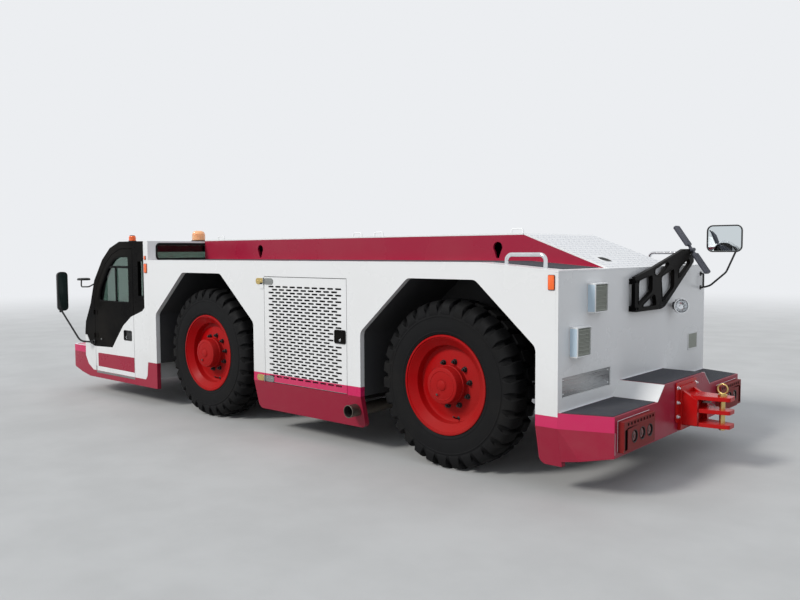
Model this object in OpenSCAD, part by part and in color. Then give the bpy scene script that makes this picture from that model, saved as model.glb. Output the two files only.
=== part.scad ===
// Aircraft pushback tractor: a low four-wheel tractor with a full-width cab ahead of the front axle.
// +X points forward, +Y to the left and +Z up. The origin lies on the ground, midway between the
// tip of the rear towbar jaw and the tip of the front one.

/* [Overall] */
// Distance between the axles
wheelbase = 2900; // [2800:20:3100]
// Width over the body sides
body_w = 2500; // [2460:10:2600]
// Height of the flat deck
deck_z = 1515; // [1500:5:1560]
// Height of the deck's lower rear edge
deck_rear_z = 1466; // [1440:2:1490]
// Height of the hood
hood_z = 1725; // [1700:5:1800]
// Width of the hood
hood_w = 1100; // [1060:10:1140]
// Length of the sloping deck behind the flat one
deck_slope_len = 610; // [500:10:650]
// Length of the sloping tread plate at the rear of the hood
hood_slope_len = 700; // [660:10:760]
// Distance from the rear axle back to the rear wall
wall_reach = 980; // [950:10:1040]
// Distance from the front axle forward to the cab's rear wall
cab_reach = 890; // [880:5:910]
// Thickness of the body sides and of the arch edges
side_t = 45; // [35:1:50]
// Thickness of the deck and hood plates
plate_t = 12; // [8:1:14]

/* [Wheels and steering] */
// Outer diameter of a tyre
tyre_d = 1240; // [1200:5:1250]
// Section width of a tyre
tyre_w = 320; // [290:5:330]
// Diameter over a rim's flanges
rim_d = 736; // [700:4:760]
// Distance from the side of the body in to the middle of a tyre
tyre_inset = 230; // [225:1:240]
// Distance from the middle of a tyre in to its kingpin
kingpin_offset = 220; // [215:1:230]
// Length of a steering arm
steer_arm = 300; // [290:2:310]
// Radius of a kingpin and of a tie rod's pin
kingpin_r = 30; // [24:1:34]
// Outer radius of an axle housing
axle_r = 115; // [90:5:130]

/* [Wheel arches] */
// Height of an arch's top edge
arch_top_z = 1395; // [1385:5:1410]
// Half the length of an arch's top edge
arch_top_half = 306; // [290:4:330]
// Height of an arch's knee
arch_knee_z = 966; // [950:4:990]
// Half the length of an arch below its knee
arch_half = 790; // [780:5:800]
// Radius of an arch's corners
arch_corner_r = 70; // [40:5:90]

/* [Chassis] */
// Width over the chassis plates
chassis_w = 1120; // [1100:10:1140]
// Thickness of a chassis plate
chassis_t = 30; // [20:2:36]
// Height of the chassis plates' lower edge
chassis_low_z = 420; // [400:5:440]
// Height of the notches over the axles
notch_z = 830; // [826:2:850]
// Height of the engine block's underside
engine_low_z = 500; // [480:5:560]
// Width of the engine block
engine_w = 700; // [600:10:800]

/* [Skirts and rear platform] */
// Height of the line where the white sides meet the skirts
skirt_top_z = 530; // [520:2:545]
// Height of the fold below which the skirts lean inwards
fold_z = 455; // [440:5:470]
// Height of the skirts' lower edge
skirt_low_z = 195; // [185:5:230]
// How far the skirts lean in at their lower edge
skirt_lean = 60; // [30:5:80]
// Length of the platform behind the rear wall
platform_len = 335; // [300:5:380]
// Width of the platform at its rear face
platform_face_w = 2266; // [2200:10:2300]
// Height of the platform
platform_z = 556; // [550:2:580]
// Height of the raised middle of the platform
step_z = 660; // [640:5:680]
// Width of the raised middle's top
step_w = 740; // [700:10:800]
// Width of the raised middle at the foot of its ramps
step_foot_w = 970; // [940:10:1000]
// Height of the platform's underside
platform_low_z = 293; // [280:5:310]
// Thickness of the anti-slip mats
mat_t = 3; // [2:1:6]

/* [Cab] */
// Length of the cab from its rear wall to its nose
cab_len = 1360; // [1340:5:1380]
// Height of the cab's roof
roof_z = 1710; // [1700:5:1760]
// Thickness of the cab's walls and doors
cab_t = 45; // [35:1:50]
// Height of the cab's lower edge
cab_low_z = 270; // [266:2:280]
// Thickness of the cab's floor
floor_t = 38; // [30:1:42]
// Length of the white pillar behind the dark side panels
pillar_len = 85; // [70:5:95]
// Gap round the cab doors
door_gap = 6; // [5:1:8]
// Thickness of the window glass
glass_t = 6; // [4:1:8]
// Thickness of the cab's rear wall
cab_wall_t = 40; // [30:1:45]
// Length of the front bumper ahead of the cab
bumper_len = 350; // [330:5:380]
// Height of the front bumper's top
bumper_z = 530; // [515:5:545]

/* [Side grille doors] */
// Length of a grille door
grille_l = 1020; // [980:10:1030]
// Height of a grille door's top edge
grille_top_z = 1380; // [1360:5:1400]
// Thickness of a grille door
grille_t = 30; // [20:1:34]
// Gap round a grille door
grille_gap = 5; // [5:0.5:7]
// Distance from the rear axle to a grille door's rear edge
grille_x = 910; // [900:5:920]

/* [Towbar jaws] */
// Radius of a jaw's pin hole
jaw_hole_r = 20.05; // [18:0.05:24]
// Thickness of a jaw plate
jaw_t = 28; // [22:1:30]
// Reach of the rear jaw beyond the platform
rear_jaw_reach = 335; // [320:5:360]
// Reach of the front jaw beyond the front bumper
front_jaw_reach = 290; // [280:5:310]

/* [Hidden] */
$fn = 40;

WHITE = "#f2f2f0";
MAROON = "#8c2036";
RED = "#d3121c";
BLACK = "#17181a";
RUBBER = "#1b1b1c";
GREY = "#4a4d50";
LIGHT_GREY = "#c3c8cc";
STEEL = "#b9bdc0";
BRASS = "#b89a4b";
AMBER = "#f07a12";
GLASS = "#8fa6a8";

seat = 0.3;                    // running gap between a part and its seat
slip = 0.05;                   // clearance round a pin
half_w = body_w / 2;
inner_y = half_w - side_t;     // inner face of the body sides
axle_z = tyre_d / 2;
axle_front_overhang = cab_reach + cab_len + bumper_len + front_jaw_reach;
axle_rear_overhang = wall_reach + platform_len + rear_jaw_reach;
rear_x = -(wheelbase + axle_front_overhang - axle_rear_overhang) / 2;
front_x = rear_x + wheelbase;
wall_x = rear_x - wall_reach;              // outer face of the rear wall
wall_t = 20;
face_x = wall_x - platform_len;            // rear face of the platform
cab_x = front_x + cab_reach;               // rear face of the cab
nose_x = cab_x + cab_len;                  // front of the cab
bumper_x = nose_x + bumper_len;            // front of the bumper
slope_top_x = wall_x + hood_slope_len;     // upper end of the hood's slope
deck_break_x = wall_x + deck_slope_len;
chassis_y = chassis_w / 2;
hood_y = hood_w / 2;
arch_shift = -25;                          // middle of an arch, from its axle
tyre_y = half_w - tyre_inset;
kingpin_y = tyre_y - kingpin_offset;

module both_sides() {
    children();
    mirror([0, 1, 0]) children();
}

// A side outline (x, z) given thickness from y0 to y1
module slab(y0, y1) {
    translate([0, y1, 0]) rotate([90, 0, 0]) linear_extrude(y1 - y0) children();
}

// A cross outline (y, z) given length from x0 to x1
module beam(x0, x1) {
    translate([x0, 0, 0]) rotate([90, 0, 90]) linear_extrude(x1 - x0) children();
}

module block(low, high) {
    translate(low) cube(high - low);
}

// A bar along Y from y0 to y1
module bar_y(r, y0, y1) {
    translate([0, y0, 0]) rotate([-90, 0, 0]) cylinder(r = r, h = y1 - y0);
}

module rounded(r) {
    offset(r = r) offset(delta = -r) children();
}

// Outlines in the side view

// Height of the deck's top at a place along the tractor
function deck_at(x) = x > deck_break_x ? deck_z
    : deck_z - (deck_break_x - x) * (deck_z - deck_rear_z) / deck_slope_len;

// The deck's line from the rear wall to the cab, lowered by a depth
function deck_line(depth) = [
    [wall_x, deck_rear_z - depth], [deck_break_x, deck_z - depth], [cab_x, deck_z - depth]
];

module deck_outline() {
    polygon(concat(deck_line(0), [for (i = [2:-1:0]) deck_line(plate_t)[i]]));
}

module slope_outline() {
    polygon([
        [wall_x, deck_rear_z - plate_t], [slope_top_x, hood_z - plate_t],
        [slope_top_x, hood_z], [wall_x, deck_rear_z]
    ]);
}

module arch_outline(grow = 0) {
    rounded(arch_corner_r) polygon([
        [-arch_half - grow, -1000], [-arch_half - grow, arch_knee_z],
        [-arch_top_half - grow / 2, arch_top_z + grow], [arch_top_half + grow / 2, arch_top_z + grow],
        [arch_half + grow, arch_knee_z], [arch_half + grow, -1000]
    ]);
}

module arches(grow = 0) {
    for (x = [rear_x, front_x]) translate([x + arch_shift, 0]) arch_outline(grow);
}

rear_arch_rear_x = rear_x + arch_shift - arch_half;
rear_arch_front_x = rear_x + arch_shift + arch_half;
front_arch_rear_x = front_x + arch_shift - arch_half;
front_arch_front_x = front_x + arch_shift + arch_half;

grille_x0 = rear_x + grille_x;
grille_x1 = grille_x0 + grille_l;

hinge_r = 6;
hinge_h = 55;
leaf_t = 4;
HINGE_Z = [fold_z + 12, grille_top_z - 110];

module grille_outline(gap = 0) {
    translate([grille_x0 + gap, fold_z + gap])
        square([grille_l - 2 * gap, grille_top_z - fold_z - 2 * gap]);
}

// Chassis

notch_half = 420;
low_rail_z = 200;
rail_t = cab_low_z - low_rail_z;
nose_rail_x = front_x + notch_half;

module chassis_outline() {
    difference() {
        polygon(concat(deck_line(plate_t), [
            [cab_x, cab_low_z], [nose_x, cab_low_z], [nose_x, low_rail_z],
            [nose_rail_x, low_rail_z], [front_x, chassis_low_z], [wall_x, chassis_low_z]
        ]));
        translate([wall_x - 1, 0]) square([wall_t + 1, deck_z]);
        for (x = [rear_x, front_x]) translate([x - notch_half, 0]) square([2 * notch_half, notch_z]);
    }
}

// Cross plates: [x, low z, high z, whether a drive shaft passes through]
CROSS_PLATES = [
    [rear_x - 780, 460, 1400, false], [rear_x + 520, 460, 1000, true],
    [front_x - 560, 460, 1000, true], [front_x + 640, 300, 1300, false]
];
cross_t = 20;
floor_z = fold_z - 30;
floor_edge_y = inner_y - skirt_lean * (fold_z - floor_z + plate_t) / (fold_z - skirt_low_z);
shaft_r = 48;
shaft_gap = 12;                // clearance of the drive shafts in the cross plates

module chassis_frame() {
    color(GREY) {
        both_sides() slab(chassis_y - chassis_t, chassis_y) chassis_outline();
        for (c = CROSS_PLATES) difference() {
            block([c[0] - cross_t / 2, -chassis_y + chassis_t, c[1]],
                [c[0] + cross_t / 2, chassis_y - chassis_t, c[2]]);
            if (c[3]) translate([c[0] - cross_t, 0, axle_z]) rotate([0, 90, 0])
                cylinder(r = shaft_r + shaft_gap, h = 2 * cross_t);
        }
        both_sides() {
            block([rear_arch_front_x + plate_t, chassis_y, floor_z - plate_t],
                [front_arch_rear_x - plate_t, floor_edge_y, floor_z]);
            block([wall_x + wall_t, chassis_y, floor_z - plate_t],
                [rear_arch_rear_x - plate_t, floor_edge_y, floor_z]);
        }
    }
}

engine_reach = 700;            // distance between an axle and the engine block
mount_reach = 200;             // distance from an end of the block in to its mounts
mount_size = 80;
engine_x0 = rear_x + engine_reach;
engine_x1 = front_x - engine_reach;

module engine_block() {
    mount_z = engine_low_z + mount_reach;
    color(BLACK) {
        block([engine_x0, -engine_w / 2, engine_low_z], [engine_x1, engine_w / 2, deck_z - 95]);
        for (x = [engine_x0 + mount_reach, engine_x1 - mount_reach])
            block([x - mount_size / 2, -chassis_y + chassis_t, mount_z],
                [x + mount_size / 2, chassis_y - chassis_t, mount_z + mount_size]);
    }
}

cooler_y = [700, 900];

module side_coolers() {
    color(BLACK) both_sides()
        block([grille_x0 + 60, cooler_y[0], floor_z], [grille_x1 - 60, cooler_y[1], grille_top_z - 80]);
}

// Axles

diff_r = 200;
fork_z = 190;                  // half the height of the fork that holds a kingpin
ear_t = 35;
ear_r = kingpin_r + 20;
fork_y = 0.8 * kingpin_y;
pad_half = 150;

module axle_beam() {
    difference() {
        union() {
            bar_y(axle_r, -fork_y, fork_y);
            sphere(r = diff_r);
            both_sides() {
                block([-80, fork_y, -fork_z], [80, fork_y + 60, fork_z]);
                for (z = [-fork_z, fork_z - ear_t]) {
                    block([-ear_r, fork_y, z], [ear_r, kingpin_y, z + ear_t]);
                    translate([0, kingpin_y, z]) cylinder(r = ear_r, h = ear_t);
                }
                block([-pad_half, chassis_y - chassis_t - 40, 0], [pad_half, chassis_y, notch_z - axle_z]);
            }
        }
        both_sides() translate([0, kingpin_y, -fork_z - 1]) cylinder(r = kingpin_r, h = 2 * fork_z + 2);
    }
}

// A shaft from an axle to the engine, dir is +1 towards the front
module shaft_to_engine(dir, reach) {
    translate([dir > 0 ? diff_r - 20 : -reach, 0, 0]) rotate([0, 90, 0])
        cylinder(r = shaft_r, h = reach - diff_r + 20);
}

module axle_beams() {
    color(GREY) {
        translate([rear_x, 0, axle_z]) {
            axle_beam();
            shaft_to_engine(1, engine_x0 - rear_x);
        }
        translate([front_x, 0, axle_z]) {
            axle_beam();
            shaft_to_engine(-1, front_x - engine_x1);
        }
    }
}

arm_z = -85;                   // underside of a steering arm, from the axle's height
arm_t = 40;
eye_r = 42;
rod_eye_r = 38;
spindle_r = 95;
disc_w = 15;                   // inner face of the wheel disc, outwards from the tyre's middle
hub_w = 80;                    // depth of the hub's bore, outwards from the tyre's middle
hub_bore_r = 45;

// A steering knuckle at its kingpin, dir is the side of the axle that its arm points to
module knuckle(dir) {
    color(GREY) {
        translate([0, 0, -fork_z + ear_t + seat]) cylinder(r = ear_r - 2, h = 2 * (fork_z - ear_t - seat));
        translate([0, 0, -fork_z - 5]) cylinder(r = kingpin_r - slip, h = 2 * fork_z + 10);
        bar_y(spindle_r, 0, kingpin_offset + disc_w - seat);
        bar_y(hub_bore_r - slip, 0, kingpin_offset + hub_w - 2);
        block([min(0, dir * steer_arm), -35, arm_z], [max(0, dir * steer_arm), 35, arm_z + arm_t]);
        translate([dir * steer_arm, 0, arm_z]) cylinder(r = eye_r, h = arm_t);
        translate([dir * steer_arm, 0, arm_z]) cylinder(r = 20, h = 2 * arm_t + 8);
    }
}

module knuckle_at(x, dir) {
    translate([x, kingpin_y, axle_z]) knuckle(dir);
}

module tie_rod(x, dir) {
    color(STEEL) translate([x + dir * steer_arm, 0, axle_z + arm_z + arm_t + seat]) difference() {
        union() {
            for (y = [-kingpin_y, kingpin_y]) translate([0, y, 0]) cylinder(r = rod_eye_r, h = arm_t);
            translate([0, 0, arm_t / 2]) bar_y(18, -kingpin_y, kingpin_y);
        }
        translate([0, kingpin_y, -1]) cylinder(r = 20 + slip, h = arm_t + 2);
        translate([0, -kingpin_y, -1]) cylinder(r = 22, h = arm_t + 2);
    }
}

// Wheels, with their axis along Y and the outer side towards +Y

seat_r = 332;                  // radius of the bead seat
flange_w = 154;                // half the width over the rim's flanges

module spin_profile() {
    rotate([-90, 0, 0]) rotate_extrude($fn = 72) children();
}

// Tyre outline as [radius, distance from the middle] from the bead to the tread
function tyre_side(s) = [
    [seat_r + seat, s * (flange_w - 26 - seat)], [rim_d / 2 + seat, s * (flange_w - 14 - seat)],
    [rim_d / 2 + 6, s * 0.47 * tyre_w], [rim_d / 2 + 62, s * tyre_w / 2], [rim_d / 2 + 132, s * tyre_w / 2],
    [tyre_d / 2 - 50, s * 0.475 * tyre_w], [tyre_d / 2 - 18, s * 0.43 * tyre_w], [tyre_d / 2, s * 0.35 * tyre_w]
];

module tyre() {
    color(RUBBER) spin_profile()
        polygon(concat(tyre_side(1), [for (i = [7:-1:0]) tyre_side(-1)[i]]));
}

module rim() {
    flange_r = rim_d / 2;
    color(RED) spin_profile() polygon([
        [hub_bore_r, disc_w], [296, disc_w], [296, -flange_w], [flange_r, -flange_w],
        [flange_r, 14 - flange_w], [seat_r, 26 - flange_w], [seat_r, flange_w - 26],
        [flange_r, flange_w - 14], [flange_r, flange_w], [346, flange_w], [318, flange_w - 14],
        [300, disc_w + 25], [140, disc_w + 25], [140, 100], [100, 118], [0, 118], [0, hub_w], [hub_bore_r, hub_w]
    ]);
}

module wheel_at(x) {
    translate([x, tyre_y, axle_z]) children();
}

// Body sides, deck and rear

module side_panels() {
    color(WHITE) both_sides() slab(inner_y, half_w) difference() {
        polygon(concat(deck_line(plate_t), [[cab_x, skirt_top_z], [wall_x, skirt_top_z]]));
        translate([wall_x - 1, 0]) square([wall_t + 1, deck_z]);
        arches();
        grille_outline();
    }
    color(STEEL) both_sides() fixed_leaf(HINGE_Z[1]);
}

// The fixed leaf of a grille door's hinge at a height
module fixed_leaf(z) {
    block([grille_x1 + hinge_r + seat, half_w - 1, z], [grille_x1 + 50, half_w + leaf_t, z + hinge_h]);
}

exhaust_r = 50;
exhaust_x = rear_arch_front_x + 70;
exhaust_z = 340;

module skirt_section() {
    polygon([
        [half_w, skirt_top_z], [half_w, fold_z], [half_w - skirt_lean, skirt_low_z],
        [half_w - skirt_lean - side_t, skirt_low_z], [inner_y, fold_z], [inner_y, skirt_top_z]
    ]);
}

module skirts() {
    color(MAROON) both_sides() difference() {
        beam(wall_x, front_arch_rear_x) skirt_section();
        slab(inner_y - skirt_lean - 10, half_w + 1) {
            arches();
            grille_outline();
            translate([exhaust_x, exhaust_z]) circle(r = exhaust_r + seat);
        }
    }
    color(STEEL) both_sides() fixed_leaf(HINGE_Z[0]);
}

module arch_liners() {
    color(BLACK) both_sides() slab(chassis_y, inner_y) difference() {
        arches(plate_t);
        arches();
        translate([wall_x, -1001]) square([cab_x - wall_x, 1001 + fold_z]);
    }
}

RECESS = [[520, 645], [1195, 775]];
RAMP_T = 6;

module rear_wall() {
    color(WHITE) {
        difference() {
            block([wall_x, -half_w, skirt_top_z], [wall_x + wall_t, half_w, deck_rear_z - plate_t]);
            block([wall_x - 1, RECESS[0][0], RECESS[0][1]], [wall_x + 10, RECESS[1][0], RECESS[1][1]]);
        }
        both_sides() beam(face_x, wall_x) polygon([
            [step_w / 2, step_z], [step_foot_w / 2, platform_z],
            [step_foot_w / 2 + RAMP_T, platform_z], [step_w / 2 + RAMP_T, step_z]
        ]);
    }
}

module deck() {
    color(WHITE) {
        both_sides() slab(chassis_y - chassis_t, half_w) deck_outline();
        slab(-hood_y, hood_y) slope_outline();
    }
}

module anti_slip_mats() {
    color(GREY) {
        both_sides() slab(600, 1090) difference() {
            polygon([
                [wall_x + 60, deck_at(wall_x + 60) + mat_t], [deck_break_x, deck_z + mat_t],
                [front_x + 700, deck_z + mat_t], [front_x + 700, deck_z - 60], [wall_x + 60, deck_z - 60]
            ]);
            polygon(concat(deck_line(0), [[cab_x, 0], [wall_x, 0]]));
        }
        block([face_x + 15, -step_w / 2 + 15, step_z], [wall_x - 15, step_w / 2 - 15, step_z + mat_t]);
        both_sides() translate([0, 0, platform_z]) linear_extrude(mat_t) intersection() {
            offset(delta = -15) platform_plan();
            translate([face_x, step_foot_w / 2 + RAMP_T + 5]) square([platform_len, half_w]);
        }
    }
}

module hood_section() {
    difference() {
        polygon([
            [wall_x, deck_rear_z], [slope_top_x, hood_z - plate_t], [cab_x, hood_z - plate_t],
            [cab_x, deck_z], [deck_break_x, deck_z]
        ]);
        slope_outline();
        deck_outline();
    }
}

LIFT_HOLES = [rear_x - 45, front_x - 60];
lift_r = 42;
lid_split_x = rear_x + 1450;
lid_gap = 5;
lid_y = hood_y + 8 + seat;

// A lifting hole, wide and round above and tapering down
module lift_hole() {
    circle(r = lift_r);
    polygon([[-lift_r, 0], [lift_r, 0], [12, -85], [-12, -85]]);
}

module hood_sides() {
    color(MAROON) {
        both_sides() slab(hood_y - 20, hood_y) difference() {
            hood_section();
            for (x = LIFT_HOLES) translate([x, hood_z - 105]) lift_hole();
        }
        for (x = [slope_top_x + 40, lid_split_x, cab_x - 12])
            block([x - 10, 20 - hood_y, deck_z], [x + 10, hood_y - 20, hood_z - plate_t]);
    }
}

// A hood lid from x0 to x1, with its loop handles at the given distances from its ends
module hood_lid(x0, x1) {
    color(WHITE) {
        block([x0, -hood_y, hood_z - plate_t + seat], [x1, hood_y, hood_z]);
        for (x = [x0 + 150, x1 - 350]) {
            translate([x + 100, -lid_y, hood_z - plate_t + 8]) rotate([0, 90, 0])
                cylinder(r = 8, h = 120, center = true);
            block([x + 40, -lid_y, hood_z - 8], [x + 160, 1 - hood_y, hood_z]);
        }
        for (x = [x0 + 130, x1 - 130]) translate([x, hood_y - 120, hood_z]) loop_handle(120, 45, 7);
    }
}

// A round bar bent to a loop along X, standing on z = 0
module loop_handle(length, height, r) {
    bend = 3 * r;
    for (s = [-1, 1]) {
        translate([s * (length / 2 - r), 0, 0]) cylinder(r = r, h = height - r - bend);
        translate([s * (length / 2 - r - bend), 0, height - r - bend])
            rotate([90, 0, s > 0 ? 0 : 180]) rotate_extrude(angle = 90) translate([bend, 0]) circle(r = r);
    }
    translate([0, 0, height - r]) rotate([0, 90, 0])
        cylinder(r = r, h = length - 2 * r - 2 * bend, center = true);
}

module platform_plan() {
    polygon([
        [wall_x, -half_w], [wall_x, half_w], [face_x, platform_face_w / 2], [face_x, -platform_face_w / 2]
    ]);
}

// The platform's solid form, drawn in by a depth on each face
module platform_form(inset) {
    intersection() {
        linear_extrude(platform_z + 200) offset(delta = -inset) platform_plan();
        beam(face_x - 1, wall_x + 1) polygon([
            [half_w - inset, platform_z - inset], [half_w - inset, fold_z],
            [half_w - skirt_lean - inset, skirt_low_z], [skirt_lean + inset - half_w, skirt_low_z],
            [inset - half_w, fold_z], [inset - half_w, platform_z - inset],
            [-step_foot_w / 2, platform_z - inset], [-step_w / 2, step_z - inset],
            [step_w / 2, step_z - inset], [step_foot_w / 2, platform_z - inset]
        ]);
        slab(-half_w, half_w) polygon([
            [face_x, platform_low_z], [wall_x, skirt_low_z + 35], [wall_x, step_z], [face_x, step_z]
        ]);
    }
}

rib_y = 400;                   // distance from the middle to the ribs beside the platform's open belly

module rear_platform() {
    color(MAROON) difference() {
        platform_form(0);
        difference() {
            platform_form(20);
            for (y = [-rib_y, rib_y]) block([face_x, y - 10, 0], [wall_x, y + 10, step_z]);
        }
        block([face_x + 40, 10 - rib_y, 0], [wall_x - 40, rib_y - 10, platform_low_z + 20]);
    }
}

TAIL_LAMP = [[630, 320], [1060, 510]];

module tail_lamps() {
    color(RED) both_sides() difference() {
        block([face_x - 40, TAIL_LAMP[0][0], TAIL_LAMP[0][1]], [face_x, TAIL_LAMP[1][0], TAIL_LAMP[1][1]]);
        for (i = [0:2]) translate([face_x - 41, TAIL_LAMP[0][0] + 85 + 130 * i, 415]) rotate([0, 90, 0])
            cylinder(r = 42, h = 20);
    }
}

// A towbar jaw that points along -X from x = 0: plates at the heights in levels, with a pin hole
module jaw(reach, levels, base_z) {
    hole_x = -reach + 70;
    difference() {
        union() {
            block([-25, -140, base_z[0]], [0, 140, base_z[1]]);
            block([-85, -80, levels[0]], [-25, 80, levels[len(levels) - 1] + jaw_t]);
            for (z = levels) translate([0, 0, z]) linear_extrude(jaw_t) rounded(20) polygon([
                [-10, -110], [-10, 110], [hole_x, 70], [-reach, 55], [-reach, -55], [hole_x, -70]
            ]);
        }
        translate([hole_x, 0, levels[0] - 1]) cylinder(r = jaw_hole_r, h = 1000);
    }
}

REAR_LEVELS = [338, 438, 531];
FRONT_LEVELS = [330, 430];

module rear_jaw() {
    color(RED) translate([face_x, 0, 0]) jaw(rear_jaw_reach, REAR_LEVELS, [305, 620]);
}

rear_pin_x = face_x - rear_jaw_reach + 70;

module rear_jaw_pin() {
    top = REAR_LEVELS[2] + jaw_t + seat;
    color(BRASS) translate([rear_pin_x, 0, 0]) {
        translate([0, 0, REAR_LEVELS[0] - 20]) cylinder(r = jaw_hole_r - slip, h = top + 40 - REAR_LEVELS[0]);
        translate([0, 0, top]) cylinder(r = 32, h = 14);
        translate([0, 0, top + 52]) rotate([90, 0, 0]) rotate_extrude() translate([34, 0]) circle(r = 6);
    }
}

module front_jaw() {
    color(RED) translate([bumper_x, 0, 0]) mirror([1, 0, 0]) jaw(front_jaw_reach, FRONT_LEVELS, [300, 500]);
}

// Mirror arm on the rear wall: outline as [distance to the right of the post, height]
ARM_OUTLINE = [[-40, 1142], [-40, 1396], [300, 1467], [824, 1585], [979, 1468], [498, 1154], [417, 1140]];
ARM_HOLES = [
    [[30, 1362], [30, 1200], [250, 1290], [250, 1400]],
    [[100, 1180], [300, 1255], [330, 1180]],
    [[310, 1440], [310, 1415], [400, 1400], [556, 1481], [540, 1495]],
    [[430, 1380], [460, 1200], [661, 1307], [657, 1440]]
];
ARM_POST_Y = 200;
ARM_T = 28;
HEAD_JOINT = [-48, -870, 1590];            // x from the rear wall, distance from the post, height
MIRROR_X = [-410, -180];
REAR_MIRROR_Y = -1050;

module mirror_arm() {
    color(BLACK) translate([wall_x, ARM_POST_Y, 0]) {
        beam(-20 - ARM_T, -20) difference() {
            polygon([for (p = ARM_OUTLINE) [-p[0], p[1]]]);
            for (h = ARM_HOLES) polygon([for (p = h) [-p[0], p[1]]]);
        }
        for (z = [1165, 1365]) block([-20, -30, z - 20], [0, 40, z + 20]);
        translate(HEAD_JOINT) {
            bar_y(16, -45, 30);
            for (turn = [0, 180]) rotate([0, 35 + turn, 0]) {
                cylinder(r = 12, h = 60);
                block([-14, -45, 40], [14, 45, 235]);
            }
        }
        block([MIRROR_X[1] - 20, REAR_MIRROR_Y, 1600], [HEAD_JOINT[0], REAR_MIRROR_Y + 18, 1618]);
        block([HEAD_JOINT[0] - 9, REAR_MIRROR_Y, 1582], [HEAD_JOINT[0] + 9, HEAD_JOINT[1], 1618]);
        block([MIRROR_X[0], REAR_MIRROR_Y - 22, 1560], [MIRROR_X[1], REAR_MIRROR_Y + 2, 1775]);
    }
}

LAMP_POS = [-740, 1120];

module work_lamp() {
    color(BLACK) translate([wall_x, LAMP_POS[0], LAMP_POS[1]]) rotate([0, -90, 0]) {
        cylinder(r = 18, h = 60);
        translate([0, 0, 50]) cylinder(r1 = 45, r2 = 75, h = 70);
        translate([0, 0, 120]) cylinder(r = 75, h = 20);
    }
}

// Front end

// Side outline of the maroon front skirt and bumper
module bumper_outline() {
    polygon([
        [front_arch_front_x, fold_z], [cab_x, fold_z], [cab_x + 40, fold_z], [cab_x + 60, cab_low_z + 40],
        [cab_x + 90, cab_low_z], [nose_x - 170, cab_low_z], [nose_x - 60, cab_low_z + 60],
        [nose_x, bumper_z - 110], [nose_x, bumper_z], [bumper_x - 20, bumper_z], [bumper_x, bumper_z - 20],
        [bumper_x, 300], [nose_x + 90, 224], [nose_x - 90, low_rail_z - 10], [front_arch_front_x, low_rail_z - 10]
    ]);
}

bumper_face_w = 1900;

module bumper_plan() {
    polygon([
        [front_arch_front_x, -half_w], [front_arch_front_x, half_w], [nose_x + 60, half_w],
        [bumper_x - 60, half_w - 120], [bumper_x, bumper_face_w / 2], [bumper_x, -bumper_face_w / 2],
        [bumper_x - 60, 120 - half_w], [nose_x + 60, -half_w]
    ]);
}

module front_bumper() {
    color(MAROON) difference() {
        intersection() {
            slab(-half_w, half_w) bumper_outline();
            linear_extrude(1000) bumper_plan();
        }
        block([front_arch_front_x - 1, -inner_y, 0], [nose_x, inner_y, 1000]);
        for (y = HEADLAMP_Y) translate([bumper_x - 30, y, HEADLAMP_Z]) rotate([0, 90, 0])
            cylinder(r = headlamp_r + seat, h = 100);
    }
}

HEADLAMP_Y = [-800, -640, 640, 800];
HEADLAMP_Z = 415;
headlamp_r = 62;

module headlamps() {
    color(LIGHT_GREY) for (y = HEADLAMP_Y) translate([bumper_x - 30, y, HEADLAMP_Z]) rotate([0, 90, 0])
        cylinder(r = headlamp_r, h = 28);
}

// Cab: outlines in the side view, x measured from the nose

module cab_contour() {
    translate([nose_x, 0]) polygon([
        [-cab_len, cab_low_z], [-cab_len, roof_z], [-800, roof_z], [-600, roof_z - 68], [-430, roof_z - 195],
        [-240, roof_z - 430], [-145, roof_z - 690], [-25, roof_z - 900], [-5, roof_z - 1020],
        [-5, bumper_z], [-5, bumper_z - 110], [-65, cab_low_z + 60], [-175, cab_low_z]
    ]);
}

// Where the dark upper part of the cab's side is
module dark_zone() {
    translate([nose_x, 0]) polygon([
        [pillar_len - cab_len, 2000], [pillar_len - cab_len, 1020], [pillar_len + 44 - cab_len, 983],
        [-1007, 913], [-843, 809], [-720, 680], [-607, 555], [-226, 542], [-125, 563], [-50, 660],
        [40, 660], [40, 2000]
    ]);
}

door_x0 = cab_x + 300;
door_x1 = nose_x - 237;

module door_outline(gap = 0) {
    offset(delta = -gap) intersection() {
        offset(delta = -75) cab_contour_open();
        translate([door_x0, cab_low_z - 10]) square([door_x1 - door_x0, 2000]);
    }
}

// The cab's contour carried on below its lower edge, so that the door reaches that edge
module cab_contour_open() {
    cab_contour();
    translate([cab_x, cab_low_z - 300]) square([cab_len - 175, 400]);
}

module window_outline() {
    offset(r = 30) offset(delta = -30) intersection() {
        offset(delta = -140) cab_contour();
        translate([door_x0 + 90, 1055]) square([door_x1 - door_x0 - 183, 497]);
    }
}

module quarter_outline() {
    translate([cab_x + 105, 1140]) square([95, 360]);
}

module door_clear() {
    intersection() {
        door_outline();
        translate([cab_x, cab_low_z]) square([cab_len, 2000]);
    }
}

screen_y = half_w - 130;

// Where the windscreen's opening is
module screen_band() {
    translate([nose_x - 660, 900]) square([700, 700]);
}

module shell_band(t = cab_t) {
    difference() {
        cab_contour();
        offset(delta = -t) cab_contour();
    }
}

module cab_frame() {
    color(BLACK) difference() {
        union() {
            both_sides() slab(half_w - cab_t, half_w) difference() {
                intersection() {
                    cab_contour();
                    dark_zone();
                }
                door_clear();
                quarter_outline();
            }
            slab(-half_w + cab_t, half_w - cab_t) intersection() {
                shell_band();
                dark_zone();
            }
        }
        slab(-screen_y, screen_y) intersection() {
            shell_band(2 * cab_t);
            screen_band();
        }
    }
}

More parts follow.
